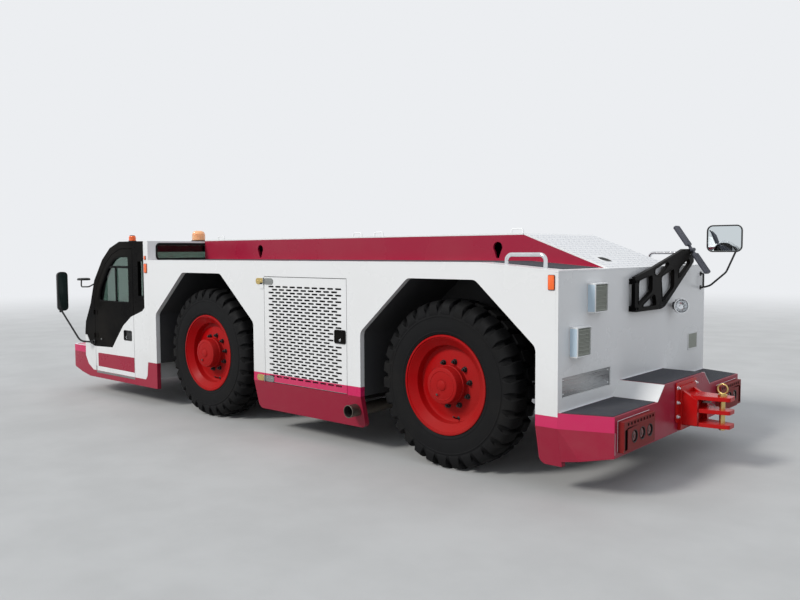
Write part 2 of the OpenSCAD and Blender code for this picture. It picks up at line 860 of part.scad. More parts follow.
module cab_nose() {
    color(WHITE) {
        both_sides() slab(half_w - cab_t, half_w) difference() {
            intersection() {
                cab_contour();
                translate([door_x1, 0]) square([400, 1000]);
            }
            dark_zone();
        }
        slab(-half_w + cab_t, half_w - cab_t) difference() {
            intersection() {
                shell_band();
                translate([door_x1, 0]) square([400, 1000]);
            }
            dark_zone();
            translate([door_x1, 0]) square([cab_len, cab_low_z + floor_t]);
        }
    }
}

REAR_WINDOW = [[-1100, 1530], [1100, 1665]];

module cab_rear_wall() {
    color(WHITE) {
        difference() {
            block([cab_x, -half_w + cab_t, cab_low_z], [cab_x + cab_wall_t, half_w - cab_t, roof_z - cab_t]);
            block([cab_x - 1, REAR_WINDOW[0][0], REAR_WINDOW[0][1]],
                [cab_x + cab_wall_t + 1, REAR_WINDOW[1][0], REAR_WINDOW[1][1]]);
        }
        both_sides() slab(half_w - cab_t, half_w) difference() {
            intersection() {
                cab_contour();
                translate([cab_x, 0]) square([door_x0 - cab_x, 2000]);
            }
            dark_zone();
            bumper_outline();
        }
        slab(-half_w + cab_t, half_w - cab_t) translate([cab_x, roof_z - cab_t]) square([pillar_len, cab_t]);
    }
}

module cab_floor() {
    color(GREY) block([cab_x + cab_wall_t, cab_t - half_w, cab_low_z], [nose_x - 90, half_w - cab_t, cab_low_z + floor_t]);
}

module cab_glass() {
    color(GLASS) {
        slab(-screen_y, screen_y) intersection() {
            difference() {
                offset(delta = -15) cab_contour();
                offset(delta = -15 - glass_t) cab_contour();
            }
            screen_band();
        }
        block([cab_x + 15, REAR_WINDOW[0][0], REAR_WINDOW[0][1]],
            [cab_x + 15 + glass_t, REAR_WINDOW[1][0], REAR_WINDOW[1][1]]);
        both_sides() slab(half_w - 20 - glass_t, half_w - 20) quarter_outline();
    }
}

module door_solid() {
    slab(half_w - cab_t, half_w) difference() {
        door_outline(door_gap);
        window_outline();
        children();
    }
}

module cab_door() {
    color(WHITE) door_solid() {
        dark_zone();
        translate([cab_x, 0]) square([cab_len, cab_low_z]);
    }
}

door_hinge_r = 9;
DOOR_HINGE_Z = [640, 900];

module door_frame() {
    color(BLACK) {
        intersection() {
            door_solid() square(1);
            slab(0, half_w) dark_zone();
        }
        for (z = DOOR_HINGE_Z) {
            translate([door_x1, half_w + door_hinge_r + seat, z]) cylinder(r = door_hinge_r, h = hinge_h);
            block([door_x1 - 60, half_w - 1, z], [door_x1 - 8, half_w + leaf_t, z + hinge_h]);
            block([door_x1 - 14, half_w + seat, z], [door_x1, half_w + leaf_t, z + hinge_h]);
        }
    }
}

module door_glass() {
    color(GLASS) slab(half_w - 20 - glass_t, half_w - 20) window_outline();
}

SEAT_Y = [-620, 620];
seat_x = cab_x + 150;
cushion_z = 640;

module seats() {
    color(BLACK) for (y = SEAT_Y) translate([0, y, 0]) {
        block([seat_x + 80, -180, cab_low_z + floor_t], [seat_x + 440, 180, cushion_z]);
        block([seat_x, -250, cushion_z], [seat_x + 520, 250, cushion_z + 110]);
        slab(-240, 240) polygon([
            [seat_x, cushion_z], [seat_x + 130, cushion_z], [seat_x + 60, 1330], [seat_x - 30, 1330]
        ]);
    }
}

console_x = nose_x - 410;
wheel_pos = [console_x - 160, SEAT_Y[1], 985];

module steering_console() {
    color(BLACK) {
        block([console_x, -1000, cab_low_z + floor_t], [console_x + 150, 1000, 800]);
        translate(wheel_pos) rotate([0, -30, 0]) {
            rotate_extrude() translate([190, 0]) circle(r = 14);
            translate([0, 0, -6]) cylinder(r = 45, h = 20);
            translate([0, 0, -430]) cylinder(r = 30, h = 430);
            for (a = [90, 210, 330]) rotate([0, 0, a]) translate([0, -14, -5]) cube([190, 28, 12]);
        }
    }
}

module front_mirrors() {
    color(BLACK) both_sides() {
        translate([nose_x - 210, half_w, 590]) rotate([-90, 0, 0]) cylinder(r = 22, h = 30);
        hull() {
            translate([nose_x - 210, half_w + 20, 590]) sphere(r = 11, $fn = 16);
            translate([nose_x - 120, half_w + 120, 600]) sphere(r = 11, $fn = 16);
        }
        hull() {
            translate([nose_x - 120, half_w + 120, 600]) sphere(r = 11, $fn = 16);
            translate([nose_x + 60, half_w + 200, 960]) sphere(r = 11, $fn = 16);
        }
        translate([nose_x + 50, half_w + 120, 940]) cube([50, 160, 440]);
    }
}

module exhaust_pipe() {
    color(GREY) translate([exhaust_x, 0, 0]) difference() {
        union() {
            translate([0, 0, exhaust_z]) bar_y(exhaust_r, 600, half_w + 20);
            block([-20, 700, exhaust_z], [20, 740, floor_z - plate_t]);
        }
        translate([0, 0, exhaust_z]) bar_y(exhaust_r - 6, half_w - 200, half_w + 21);
    }
}

module handrails() {
    color(STEEL) both_sides() difference() {
        translate([(wall_x + 140 + wall_x + 470) / 2, 1150, deck_rear_z])
            loop_handle(330, 115, 14);
        slab(1100, 1200) polygon(concat(deck_line(0), [[cab_x, 0], [wall_x, 0]]));
    }
}

MARKERS = [[rear_x - 930, 1390], [front_x + 830, 1430]];
BEACONS = [[350, 300, 75, 130], [480, 1000, 40, 70]];

module amber_lamps() {
    color(AMBER) {
        both_sides() for (p = MARKERS)
            translate([p[0], half_w, p[1]]) translate([-22, 0, -46]) cube([45, 12, 93]);
        for (b = BEACONS) translate([cab_x + b[0], b[1], roof_z]) cylinder(r = b[2], h = b[3]);
    }
}

module grille_door() {
    color(WHITE) {
        slab(half_w - grille_t, half_w) grille_outline(grille_gap);
        for (z = HINGE_Z) {
            translate([grille_x1, half_w + hinge_r, z]) cylinder(r = hinge_r, h = hinge_h);
            block([grille_x1 - 60, half_w, z], [grille_x1, half_w + leaf_t, z + hinge_h]);
        }
    }
}

chassis_frame();
engine_block();
axle_beams();
side_coolers();
side_panels();
skirts();
arch_liners();
rear_wall();
deck();
anti_slip_mats();
hood_sides();
hood_lid(lid_split_x + lid_gap / 2, cab_x - lid_gap);  // hood_lid_front
hood_lid(slope_top_x + lid_gap, lid_split_x - lid_gap / 2);  // hood_lid_rear
rear_platform();
tail_lamps();
rear_jaw();
rear_jaw_pin();
mirror_arm();
work_lamp();
front_bumper();
headlamps();
front_jaw();
cab_floor();
cab_frame();
cab_rear_wall();
cab_nose();
cab_glass();
seats();
steering_console();
cab_door();  // cab_door_left
mirror([0, 1, 0]) cab_door();  // cab_door_right
door_frame();  // door_frame_left
mirror([0, 1, 0]) door_frame();  // door_frame_right
door_glass();  // door_glass_left
mirror([0, 1, 0]) door_glass();  // door_glass_right
grille_door();  // grille_door_left
mirror([0, 1, 0]) grille_door();  // grille_door_right
front_mirrors();
exhaust_pipe();
handrails();
amber_lamps();
wheel_at(front_x) tyre();  // tyre_front_left
mirror([0, 1, 0]) wheel_at(front_x) tyre();  // tyre_front_right
wheel_at(rear_x) tyre();  // tyre_rear_left
mirror([0, 1, 0]) wheel_at(rear_x) tyre();  // tyre_rear_right
wheel_at(front_x) rim();  // rim_front_left
mirror([0, 1, 0]) wheel_at(front_x) rim();  // rim_front_right
wheel_at(rear_x) rim();  // rim_rear_left
mirror([0, 1, 0]) wheel_at(rear_x) rim();  // rim_rear_right
knuckle_at(front_x, 1);  // knuckle_front_left
mirror([0, 1, 0]) knuckle_at(front_x, 1);  // knuckle_front_right
knuckle_at(rear_x, -1);  // knuckle_rear_left
mirror([0, 1, 0]) knuckle_at(rear_x, -1);  // knuckle_rear_right
tie_rod(front_x, 1);  // tie_rod_front
tie_rod(rear_x, -1);  // tie_rod_rear
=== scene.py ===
import math

import bmesh
import bpy
from mathutils import Matrix, Vector
from mathutils.geometry import tessellate_polygon


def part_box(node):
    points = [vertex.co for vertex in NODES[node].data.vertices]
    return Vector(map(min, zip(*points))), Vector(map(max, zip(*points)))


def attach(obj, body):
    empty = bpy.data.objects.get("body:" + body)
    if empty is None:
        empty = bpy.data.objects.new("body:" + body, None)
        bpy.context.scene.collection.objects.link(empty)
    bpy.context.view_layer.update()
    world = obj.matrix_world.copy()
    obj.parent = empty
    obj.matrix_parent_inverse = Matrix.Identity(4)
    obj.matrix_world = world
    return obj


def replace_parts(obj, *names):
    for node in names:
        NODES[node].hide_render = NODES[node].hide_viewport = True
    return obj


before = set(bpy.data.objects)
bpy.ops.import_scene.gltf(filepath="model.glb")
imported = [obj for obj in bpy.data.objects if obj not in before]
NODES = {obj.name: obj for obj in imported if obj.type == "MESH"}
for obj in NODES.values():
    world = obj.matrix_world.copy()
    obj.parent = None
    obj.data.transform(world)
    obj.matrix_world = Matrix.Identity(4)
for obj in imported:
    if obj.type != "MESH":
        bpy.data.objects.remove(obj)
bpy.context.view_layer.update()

# Places taken from the frame

WALL_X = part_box("deck")[0].x
FACE_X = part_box("rear_wall")[0].x
HALF_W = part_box("deck")[1].y
CAB_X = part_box("cab_rear_wall")[0].x
BUMPER_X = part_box("front_bumper")[1].x
ROOF_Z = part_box("cab_rear_wall")[1].z
NOSE_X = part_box("cab_floor")[1].x + 0.09
AXLES = {end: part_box(f"tyre_{end}_left") for end in ("front", "rear")}
AXLE_X = {end: (low.x + high.x) / 2 for end, (low, high) in AXLES.items()}
TYRE_R = (AXLES["rear"][1].z - AXLES["rear"][0].z) / 2
TYRE_W = AXLES["rear"][1].y - AXLES["rear"][0].y
TYRE_Y = (AXLES["rear"][1].y + AXLES["rear"][0].y) / 2
SKIRT_TOP_Z = 0.53
FOLD_Z = 0.455
SIDES = {"left": 1, "right": -1}


# Materials

def srgb(red, green, blue):
    """A colour given in 0 to 255 as seen on a screen, in the renderer's linear values."""
    def linear(value):
        value /= 255
        return value / 12.92 if value <= 0.04045 else ((value + 0.055) / 1.055) ** 2.4
    return (linear(red), linear(green), linear(blue), 1.0)


class Nodes:
    """Makes and links the nodes of one tree."""

    def __init__(self, tree):
        self.tree = tree

    def node(self, kind, settings=None, inputs=None):
        made = self.tree.nodes.new("ShaderNode" + kind)
        for key, value in (settings or {}).items():
            setattr(made, key, value)
        for key, value in (inputs or {}).items():
            self.feed(made.inputs[key], value)
        return made

    def feed(self, socket, value):
        if isinstance(value, bpy.types.NodeSocket):
            self.tree.links.new(value, socket)
        else:
            socket.default_value = value

    def math(self, operation, first, second=0.0):
        return self.node("Math", {"operation": operation}, {0: first, 1: second}).outputs[0]

    def shown(self):
        """1 for the rays that the eye, gloss or glass sees by, and 0 for those that only carry light."""
        rays = self.node("LightPath").outputs
        through = self.math("MAXIMUM", rays["Is Glossy Ray"], rays["Is Transmission Ray"])
        return self.math("MAXIMUM", rays["Is Camera Ray"], through)


class Graph(Nodes):
    """One material's nodes. Its coordinates are metres in the piece's own space, fixed to the piece."""

    def __init__(self, name):
        self.material = bpy.data.materials.new(name)
        self.material.use_nodes = True
        super().__init__(self.material.node_tree)
        self.shader = self.tree.nodes["Principled BSDF"]
        self.place = self.node("TexCoord").outputs["Object"]

    def set(self, **values):
        """Sets or links the shader's sockets, with _ for a space in a socket's name."""
        for key, value in values.items():
            self.feed(self.shader.inputs[key.replace("_", " ")], value)

    def noise(self, scale, detail=3.0, rough=0.55, stretch=None):
        place = self.place
        if stretch:
            place = self.node("Mapping", inputs={"Vector": place, "Scale": stretch}).outputs[0]
        inputs = {"Vector": place, "Scale": scale, "Detail": detail, "Roughness": rough}
        return self.node("TexNoise", inputs=inputs).outputs["Fac"]

    def fade(self, value, start, end, low=0.0, high=1.0):
        """low where value is at start, high where it is at end, and smooth in between."""
        settings = {"interpolation_type": "SMOOTHSTEP"}
        inputs = {"Value": value, "From Min": start, "From Max": end, "To Min": low, "To Max": high}
        return self.node("MapRange", settings, inputs).outputs["Result"]

    def mix(self, share, first, second):
        made = self.node("Mix", {"data_type": "RGBA"}, {0: share, 6: first, 7: second})
        return made.outputs[2]

    def axis(self, name, vector=None):
        return self.node("SeparateXYZ", inputs={"Vector": vector or self.place}).outputs[name]

    def rounded(self, radius):
        return self.node("Bevel", {"samples": 4}, {"Radius": radius}).outputs["Normal"]

    def edges(self, radius):
        """High along sharp edges, where the rounded normal leaves the flat one."""
        flat = self.node("NewGeometry").outputs["Normal"]
        dot = self.node("VectorMath", {"operation": "DOT_PRODUCT"}, {0: self.rounded(radius), 1: flat})
        return self.fade(dot.outputs["Value"], 0.995, 0.80)

    def bump(self, height, distance, normal=None, strength=1.0):
        inputs = {"Height": height, "Distance": distance, "Strength": strength}
        if normal:
            inputs["Normal"] = normal
        return self.node("Bump", inputs=inputs).outputs["Normal"]


DUST = srgb(150, 142, 130)
DUST_HEIGHTS = (1.1, 0.15)
WHITE = srgb(234, 234, 233)
MAROON = srgb(156, 22, 54)
# Painted highlight: a brighter, pinker copy of MAROON for upright maroon faces, standing in for the sky and
# sun light that they catch.
SKY_LIT_MAROON = srgb(204, 34, 92)


def paint(name, colour, rough=0.26, dust=0.5, edge=0.0025, coat=0.5, wear=0.0, shine=0.5, below=None,
          ends=None):
    """Sprayed paint: faint ripples, dull clouds, and road dust low down.

    below is the (colour, height) of what lies under a height, and ends the colour of faces that face neither
    side; a brighter colour kept on the side faces this way is painted highlight.
    """
    g = Graph(name)
    clouds = g.noise(1.3, 6.0, 0.6)
    specks = g.noise(38.0, 4.0, 0.7)
    low = g.fade(g.axis("Z"), *DUST_HEIGHTS)
    mottled = g.math("ADD", clouds, g.math("MULTIPLY", specks, 0.25))
    share = g.math("MULTIPLY", g.fade(mottled, 0.42, 0.95), low)
    base = colour
    # A second colour under a height: real two-tone paint on the doors, and on the skirts, bumper and platform
    # the painted highlight above the fold with plain maroon below.
    if below:
        base = g.mix(g.fade(g.axis("Z"), below[1] + 0.0005, below[1] - 0.0005), colour, below[0])
    # Faces that face neither side take the ends colour, which keeps the platform's painted highlight on its
    # side faces alone.
    if ends:
        sideways = g.math("ABSOLUTE", g.axis("Y", g.node("NewGeometry").outputs["Normal"]))
        base = g.mix(g.fade(sideways, 0.4, 0.6), ends, base)
    tinted = g.mix(g.fade(clouds, 0.3, 0.75, 0.0, 0.05), base, DUST)
    dusty = g.mix(g.math("MULTIPLY", share, dust), tinted, DUST)
    if wear:
        bare = g.math("MULTIPLY", g.edges(0.006), g.fade(specks, 0.55, 0.68, 0.0, wear))
        dusty = g.mix(bare, dusty, srgb(120, 116, 112))
    ripple = g.bump(g.noise(420.0, 2.0), 0.00006, g.rounded(edge), 0.5)
    dull = g.math("ADD", g.fade(clouds, 0.3, 0.8, rough - 0.05, rough + 0.12), g.math("MULTIPLY", share, 0.3))
    g.set(Base_Color=dusty, Roughness=dull, Normal=ripple, Coat_Weight=coat, Coat_Roughness=0.12)
    g.set(Specular_IOR_Level=shine)
    return g.material


def rubber(name, colour, dust=0.35):
    g = Graph(name)
    clouds = g.noise(3.0, 6.0, 0.65)
    grain = g.noise(150.0, 4.0, 0.6)
    dusty = g.mix(g.fade(clouds, 0.45, 0.8, 0.0, dust), colour, srgb(92, 88, 82))
    g.set(Base_Color=dusty, Roughness=g.fade(clouds, 0.3, 0.7, 0.62, 0.85), Specular_IOR_Level=0.16)
    g.set(Normal=g.bump(grain, 0.0004, g.rounded(0.004)))
    return g.material


def mat_surface(name):
    """Anti-slip covering: dark grit with a few lighter grains."""
    g = Graph(name)
    grit = g.node("TexVoronoi", inputs={"Vector": g.place, "Scale": 420.0}).outputs["Distance"]
    scuffs = g.noise(6.0, 5.0, 0.7)
    tint = g.mix(g.fade(scuffs, 0.4, 0.75, 0.0, 0.35), srgb(52, 54, 62), srgb(96, 94, 92))
    g.set(Base_Color=tint, Roughness=g.fade(scuffs, 0.3, 0.8, 0.75, 0.95))
    g.set(Normal=g.bump(grit, 0.0012, g.rounded(0.001)))
    return g.material


def metal(name, colour, rough=0.3, brushed=None):
    g = Graph(name)
    streaks = g.noise(60.0, 4.0, 0.6, brushed or (1.0, 1.0, 1.0))
    stains = g.noise(4.0, 5.0, 0.6)
    darker = tuple(0.55 * c for c in colour[:3]) + (1.0,)
    g.set(Base_Color=g.mix(g.fade(stains, 0.5, 0.85, 0.0, 0.6), colour, darker), Metallic=1.0)
    g.set(Roughness=g.fade(streaks, 0.25, 0.75, rough - 0.08, rough + 0.12))
    g.set(Normal=g.bump(streaks, 0.00015, g.rounded(0.002)))
    return g.material


def plastic(name, colour, rough=0.45, grain=0.0001):
    g = Graph(name)
    clouds = g.noise(5.0, 5.0, 0.6)
    lighter = tuple(min(1.0, 1.6 * c + 0.02) for c in colour[:3]) + (1.0,)
    g.set(Base_Color=g.mix(g.fade(clouds, 0.4, 0.8, 0.0, 0.5), colour, lighter))
    g.set(Roughness=g.fade(clouds, 0.3, 0.8, rough - 0.08, rough + 0.1))
    g.set(Normal=g.bump(g.noise(600.0, 2.0), grain, g.rounded(0.002)))
    return g.material


def clear(name, colour, rough=0.0):
    """Glass or a lamp lens, with a little dirt that dulls it."""
    g = Graph(name)
    smears = g.noise(9.0, 5.0, 0.7)
    g.set(Base_Color=colour, Transmission_Weight=1.0, IOR=1.45)
    g.set(Roughness=g.fade(smears, 0.5, 0.9, rough, rough + 0.06))
    return g.material


def lens(name, colour, glow=0.0, coat=0.6):
    """Coloured lamp lens with fine vertical ribs."""
    g = Graph(name)
    ribs = g.node("TexWave", inputs={"Vector": g.place, "Scale": 60.0}).outputs["Fac"]
    g.set(Base_Color=colour, Roughness=g.fade(g.noise(20.0), 0.3, 0.8, 0.12, 0.25), Coat_Weight=coat)
    g.set(Subsurface_Weight=0.15, Emission_Color=colour, Emission_Strength=glow)
    g.set(Normal=g.bump(ribs, 0.0006, g.rounded(0.003)))
    return g.material


def fabric(name, colour):
    g = Graph(name)
    across = g.node("TexWave", {"bands_direction": "X"}, {"Vector": g.place, "Scale": 260.0}).outputs["Fac"]
    along = g.node("TexWave", {"bands_direction": "Y"}, {"Vector": g.place, "Scale": 260.0}).outputs["Fac"]
    weave = g.math("MULTIPLY", across, along)
    fade = g.noise(7.0, 5.0, 0.6)
    pale = tuple(2.2 * c for c in colour[:3]) + (1.0,)
    g.set(Base_Color=g.mix(g.fade(fade, 0.4, 0.8, 0.0, 0.5), colour, pale), Sheen_Weight=0.4)
    g.set(Roughness=g.fade(weave, 0.0, 1.0, 0.75, 0.95), Normal=g.bump(weave, 0.0006))
    return g.material


def mirror(name):
    g = Graph(name)
    g.set(Base_Color=srgb(215, 222, 224), Metallic=1.0)
    g.set(Roughness=g.fade(g.noise(14.0, 4.0, 0.7), 0.5, 0.9, 0.01, 0.05))
    return g.material


MATT = {"coat": 0.0, "shine": 0.2}
WHITE_COAT = {"coat": 0.1, "shine": 0.35}
MAROON_COAT = {"dust": 0.05, "coat": 0.05, "shine": 0.25}
MATERIALS = {
    "white": paint("white_paint", WHITE, dust=0.25, **WHITE_COAT),
    # Maroon paint on the doors' foot, in the brighter copy that is painted highlight.
    "door_white": paint("door_white", WHITE, dust=0.15, below=(SKY_LIT_MAROON, SKIRT_TOP_Z), **WHITE_COAT),
    # Painted highlight on the platform's side faces above the fold; plain maroon below it and on all other
    # faces.
    "platform": paint("platform_paint", SKY_LIT_MAROON, rough=0.3, dust=0.08, coat=0.05, wear=0.5, shine=0.25,
                      below=(MAROON, FOLD_Z), ends=MAROON),
    "tread": paint("tread_marks", srgb(198, 200, 206), rough=0.35, dust=0.1, coat=0.0),
    # Painted sky light: pale blue for the louvre boxes' white side plates where they catch the sky.
    "sky_lit_white": paint("sky_lit_white", srgb(196, 214, 226), rough=0.4, dust=0.05, coat=0.0),
    "pale_line": paint("pale_line", srgb(242, 243, 246), rough=0.4, dust=0.03, coat=0.0),
    # Painted highlight on the skirts and bumper above the fold; plain maroon below it, where they lean in.
    "skirt": paint("skirt_paint", SKY_LIT_MAROON, rough=0.28, below=(MAROON, FOLD_Z), **MAROON_COAT),
    "maroon": paint("maroon_paint", MAROON, rough=0.28, **MAROON_COAT),
    "red": paint("red_paint", srgb(164, 4, 9), rough=0.32, dust=0.02, edge=0.004, coat=0.0, shine=0.09),
    "red_worn": paint("red_worn", srgb(186, 12, 14), rough=0.32, dust=0.04, edge=0.003, coat=0.03, wear=0.5,
                      shine=0.2),
    "lamp_red": paint("lamp_red", srgb(120, 12, 16), rough=0.4, dust=0.06, wear=0.5, **MATT),
    "black": paint("black_paint", srgb(7, 7, 8), rough=0.3, dust=0.0, coat=0.0, shine=0.02),
    "liner": paint("liner_paint", srgb(56, 56, 58), rough=0.7, dust=0.2, **MATT),
    "chassis": paint("chassis_paint", srgb(30, 31, 33), rough=0.5, dust=0.3, coat=0.0, wear=0.5),
    "rubber": rubber("tyre_rubber", srgb(17, 17, 18), 0.08),
    "seal": rubber("seal_rubber", srgb(14, 14, 15), 0.05),
    "mat": mat_surface("anti_slip"),
    "steel": metal("brushed_steel", srgb(178, 180, 182), 0.32, (1.0, 1.0, 14.0)),
    "sheet": metal("stainless_sheet", srgb(160, 162, 164), 0.3, (1.0, 0.06, 3.0)),
    "chrome": metal("chrome", srgb(222, 224, 226), 0.12),
    "zinc": metal("yellow_zinc", srgb(206, 182, 120), 0.35),
    "galvanised": metal("galvanised", srgb(150, 152, 150), 0.45),
    "exhaust": metal("exhaust_metal", srgb(112, 106, 98), 0.5),
    # Black for real soot in the exhaust, and painted shade in the lifting hole and behind the tail lamps'
    # notches.
    "soot": paint("soot", srgb(14, 13, 12), rough=0.85, dust=0.0, coat=0.0),
    "mesh": paint("mesh_grey", srgb(168, 171, 160), rough=0.6, dust=0.1, coat=0.0),
    "trim": plastic("black_trim", srgb(16, 17, 18)),
    "grained": plastic("grained_plastic", srgb(30, 32, 35), 0.6, 0.0004),
    "head_grey": plastic("ridged_grey", srgb(62, 64, 74), 0.5, 0.0003),
    "amber": lens("amber_lens", srgb(238, 96, 10), 0.22),
    "pale_amber": lens("pale_amber_lens", srgb(246, 176, 122), 0.16),
    "tail": lens("tail_lens", srgb(92, 6, 8), 0.0, 0.1),
    "clear": clear("clear_lens", (0.95, 0.96, 0.97, 1.0), 0.02),
    "glass": clear("window_glass", (0.27, 0.36, 0.32, 1.0)),
    "fabric": fabric("seat_fabric", srgb(40, 42, 48)),
    "mirror": mirror("mirror_glass"),
    # Painted reflection: the front mirrors' panes are dark greenish gloss for the dark surroundings that they
    # reflect.
    "painted_reflection_pane": plastic("painted_reflection_pane", srgb(38, 50, 48), 0.12, 0.0),
}

# A name that ends in an underscore stands for every node that begins with it
NODE_FINISH = {
    "white": "side_panels rear_wall deck hood_lid_ cab_rear_wall cab_nose cab_door_",
    "door_white": "grille_door_",
    "maroon": "hood_sides front_bumper",
    "skirt": "skirts",
    "platform": "rear_platform",
    "red": "rim_",
    "red_worn": "rear_jaw front_jaw",
    "lamp_red": "tail_lamps",
    "black": "cab_frame door_frame_ mirror_arm work_lamp",
    "liner": "arch_liners side_coolers engine_block",
    "chassis": "chassis_frame axle_beams knuckle_",
    "mat": "anti_slip_mats",
    "steel": "tie_rod_",
    "chrome": "handrails",
    "zinc": "rear_jaw_pin",
    "exhaust": "exhaust_pipe",
    "trim": "front_mirrors",
    "grained": "cab_floor steering_console seats",
    "amber": "amber_lamps",
    "clear": "headlamps",
    "glass": "cab_glass door_glass_",
    "rubber": "tyre_",
}


def finish_nodes():
    """Gives every CAD node its finish."""
    for finish, names in NODE_FINISH.items():
        for name in names.split():
            for node in NODES:
                if node == name or (name.endswith("_") and node.startswith(name)):
                    NODES[node].data.materials.clear()
                    NODES[node].data.materials.append(MATERIALS[finish])


# Mesh building

def turn(axis, degrees):
    return Matrix.Rotation(math.radians(degrees), 4, axis)


def move(x, y, z):
    return Matrix.Translation((x, y, z))


def ring(radius, steps, height=0.0):
    """Points of a circle round Z."""
    angles = [math.tau * i / steps for i in range(steps)]
    return [(radius * math.cos(a), radius * math.sin(a), height) for a in angles]


def corner_arc(before, corner, after, radius, steps):
    """Points of the arc that rounds a corner between its neighbours."""
    back = before - corner
    ahead = after - corner
    reach = min(radius, 0.45 * back.length, 0.45 * ahead.length)
    start = corner + back.normalized() * reach
    end = corner + ahead.normalized() * reach
    shares = [i / steps for i in range(steps + 1)]
    return [(1 - t) ** 2 * start + 2 * t * (1 - t) * corner + t ** 2 * end for t in shares]


def rounded_line(points, radius):
    """An open line through the points with its corners rounded."""
    points = [Vector(p) for p in points]
    line = [points[0]]
    for before, corner, after in zip(points, points[1:], points[2:]):
        line += corner_arc(before, corner, after, radius, 5)
    return line + [points[-1]]


def soften(points, radius):
    """A closed outline with its corners rounded."""
    points = [Vector(p) for p in points]
    line = []
    for i, corner in enumerate(points):
        line += corner_arc(points[i - 1], corner, points[(i + 1) % len(points)], radius, 4)
    return [tuple(p) for p in line]


def placed(axis, a, b, level):
    """The point a, b of a plane across an axis, at a level along that axis."""
    return {"Y": (a, level, b), "X": (level, a, b), "Z": (a, b, level)}[axis]


def rect(x0, y0, x1, y1):
    """Outline of a rectangle."""
    return [(x0, y0), (x1, y0), (x1, y1), (x0, y1)]


def round_rect(x0, y0, x1, y1, radius, steps=6):
    """Outline of a rectangle with round corners."""
    corners = [(x1 - radius, y0 + radius, 270), (x1 - radius, y1 - radius, 0),
               (x0 + radius, y1 - radius, 90), (x0 + radius, y0 + radius, 180)]
    line = []
    for x, y, start in corners:
        for i in range(steps + 1):
            a = math.radians(start + 90 * i / steps)
            line.append((x + radius * math.cos(a), y + radius * math.sin(a)))
    return line


def outlines_of(node, keep):
    """The closed border lines round the faces of a node that keep picks, the longest first."""
    mesh = bmesh.new()
    mesh.from_mesh(NODES[node].data)
    bmesh.ops.remove_doubles(mesh, verts=mesh.verts, dist=1e-5)
    picked = {face for face in mesh.faces if keep(face.calc_center_median(), face.normal)}
    beside = {}
    for edge in mesh.edges:
        if sum(face in picked for face in edge.link_faces) == 1:
            first, second = edge.verts
            beside.setdefault(first, []).append(second)
            beside.setdefault(second, []).append(first)
    lines = []
    while beside:
        at = next(iter(beside))
        line = []
        while at in beside:
            ahead = beside.pop(at)
            line.append(at.co.copy())
            at = next((vert for vert in ahead if vert in beside), None)
        lines.append(line)
    mesh.free()
    return sorted(lines, key=lambda line: -sum((a - b).length for a, b in zip(line, line[1:])))


def linked(name, mesh):
    """An object in the scene made of an edited mesh, which is used up."""
    data = bpy.data.meshes.new(name)
    mesh.to_mesh(data)
    mesh.free()
    made = bpy.data.objects.new(name, data)
    bpy.context.scene.collection.objects.link(made)
    return made


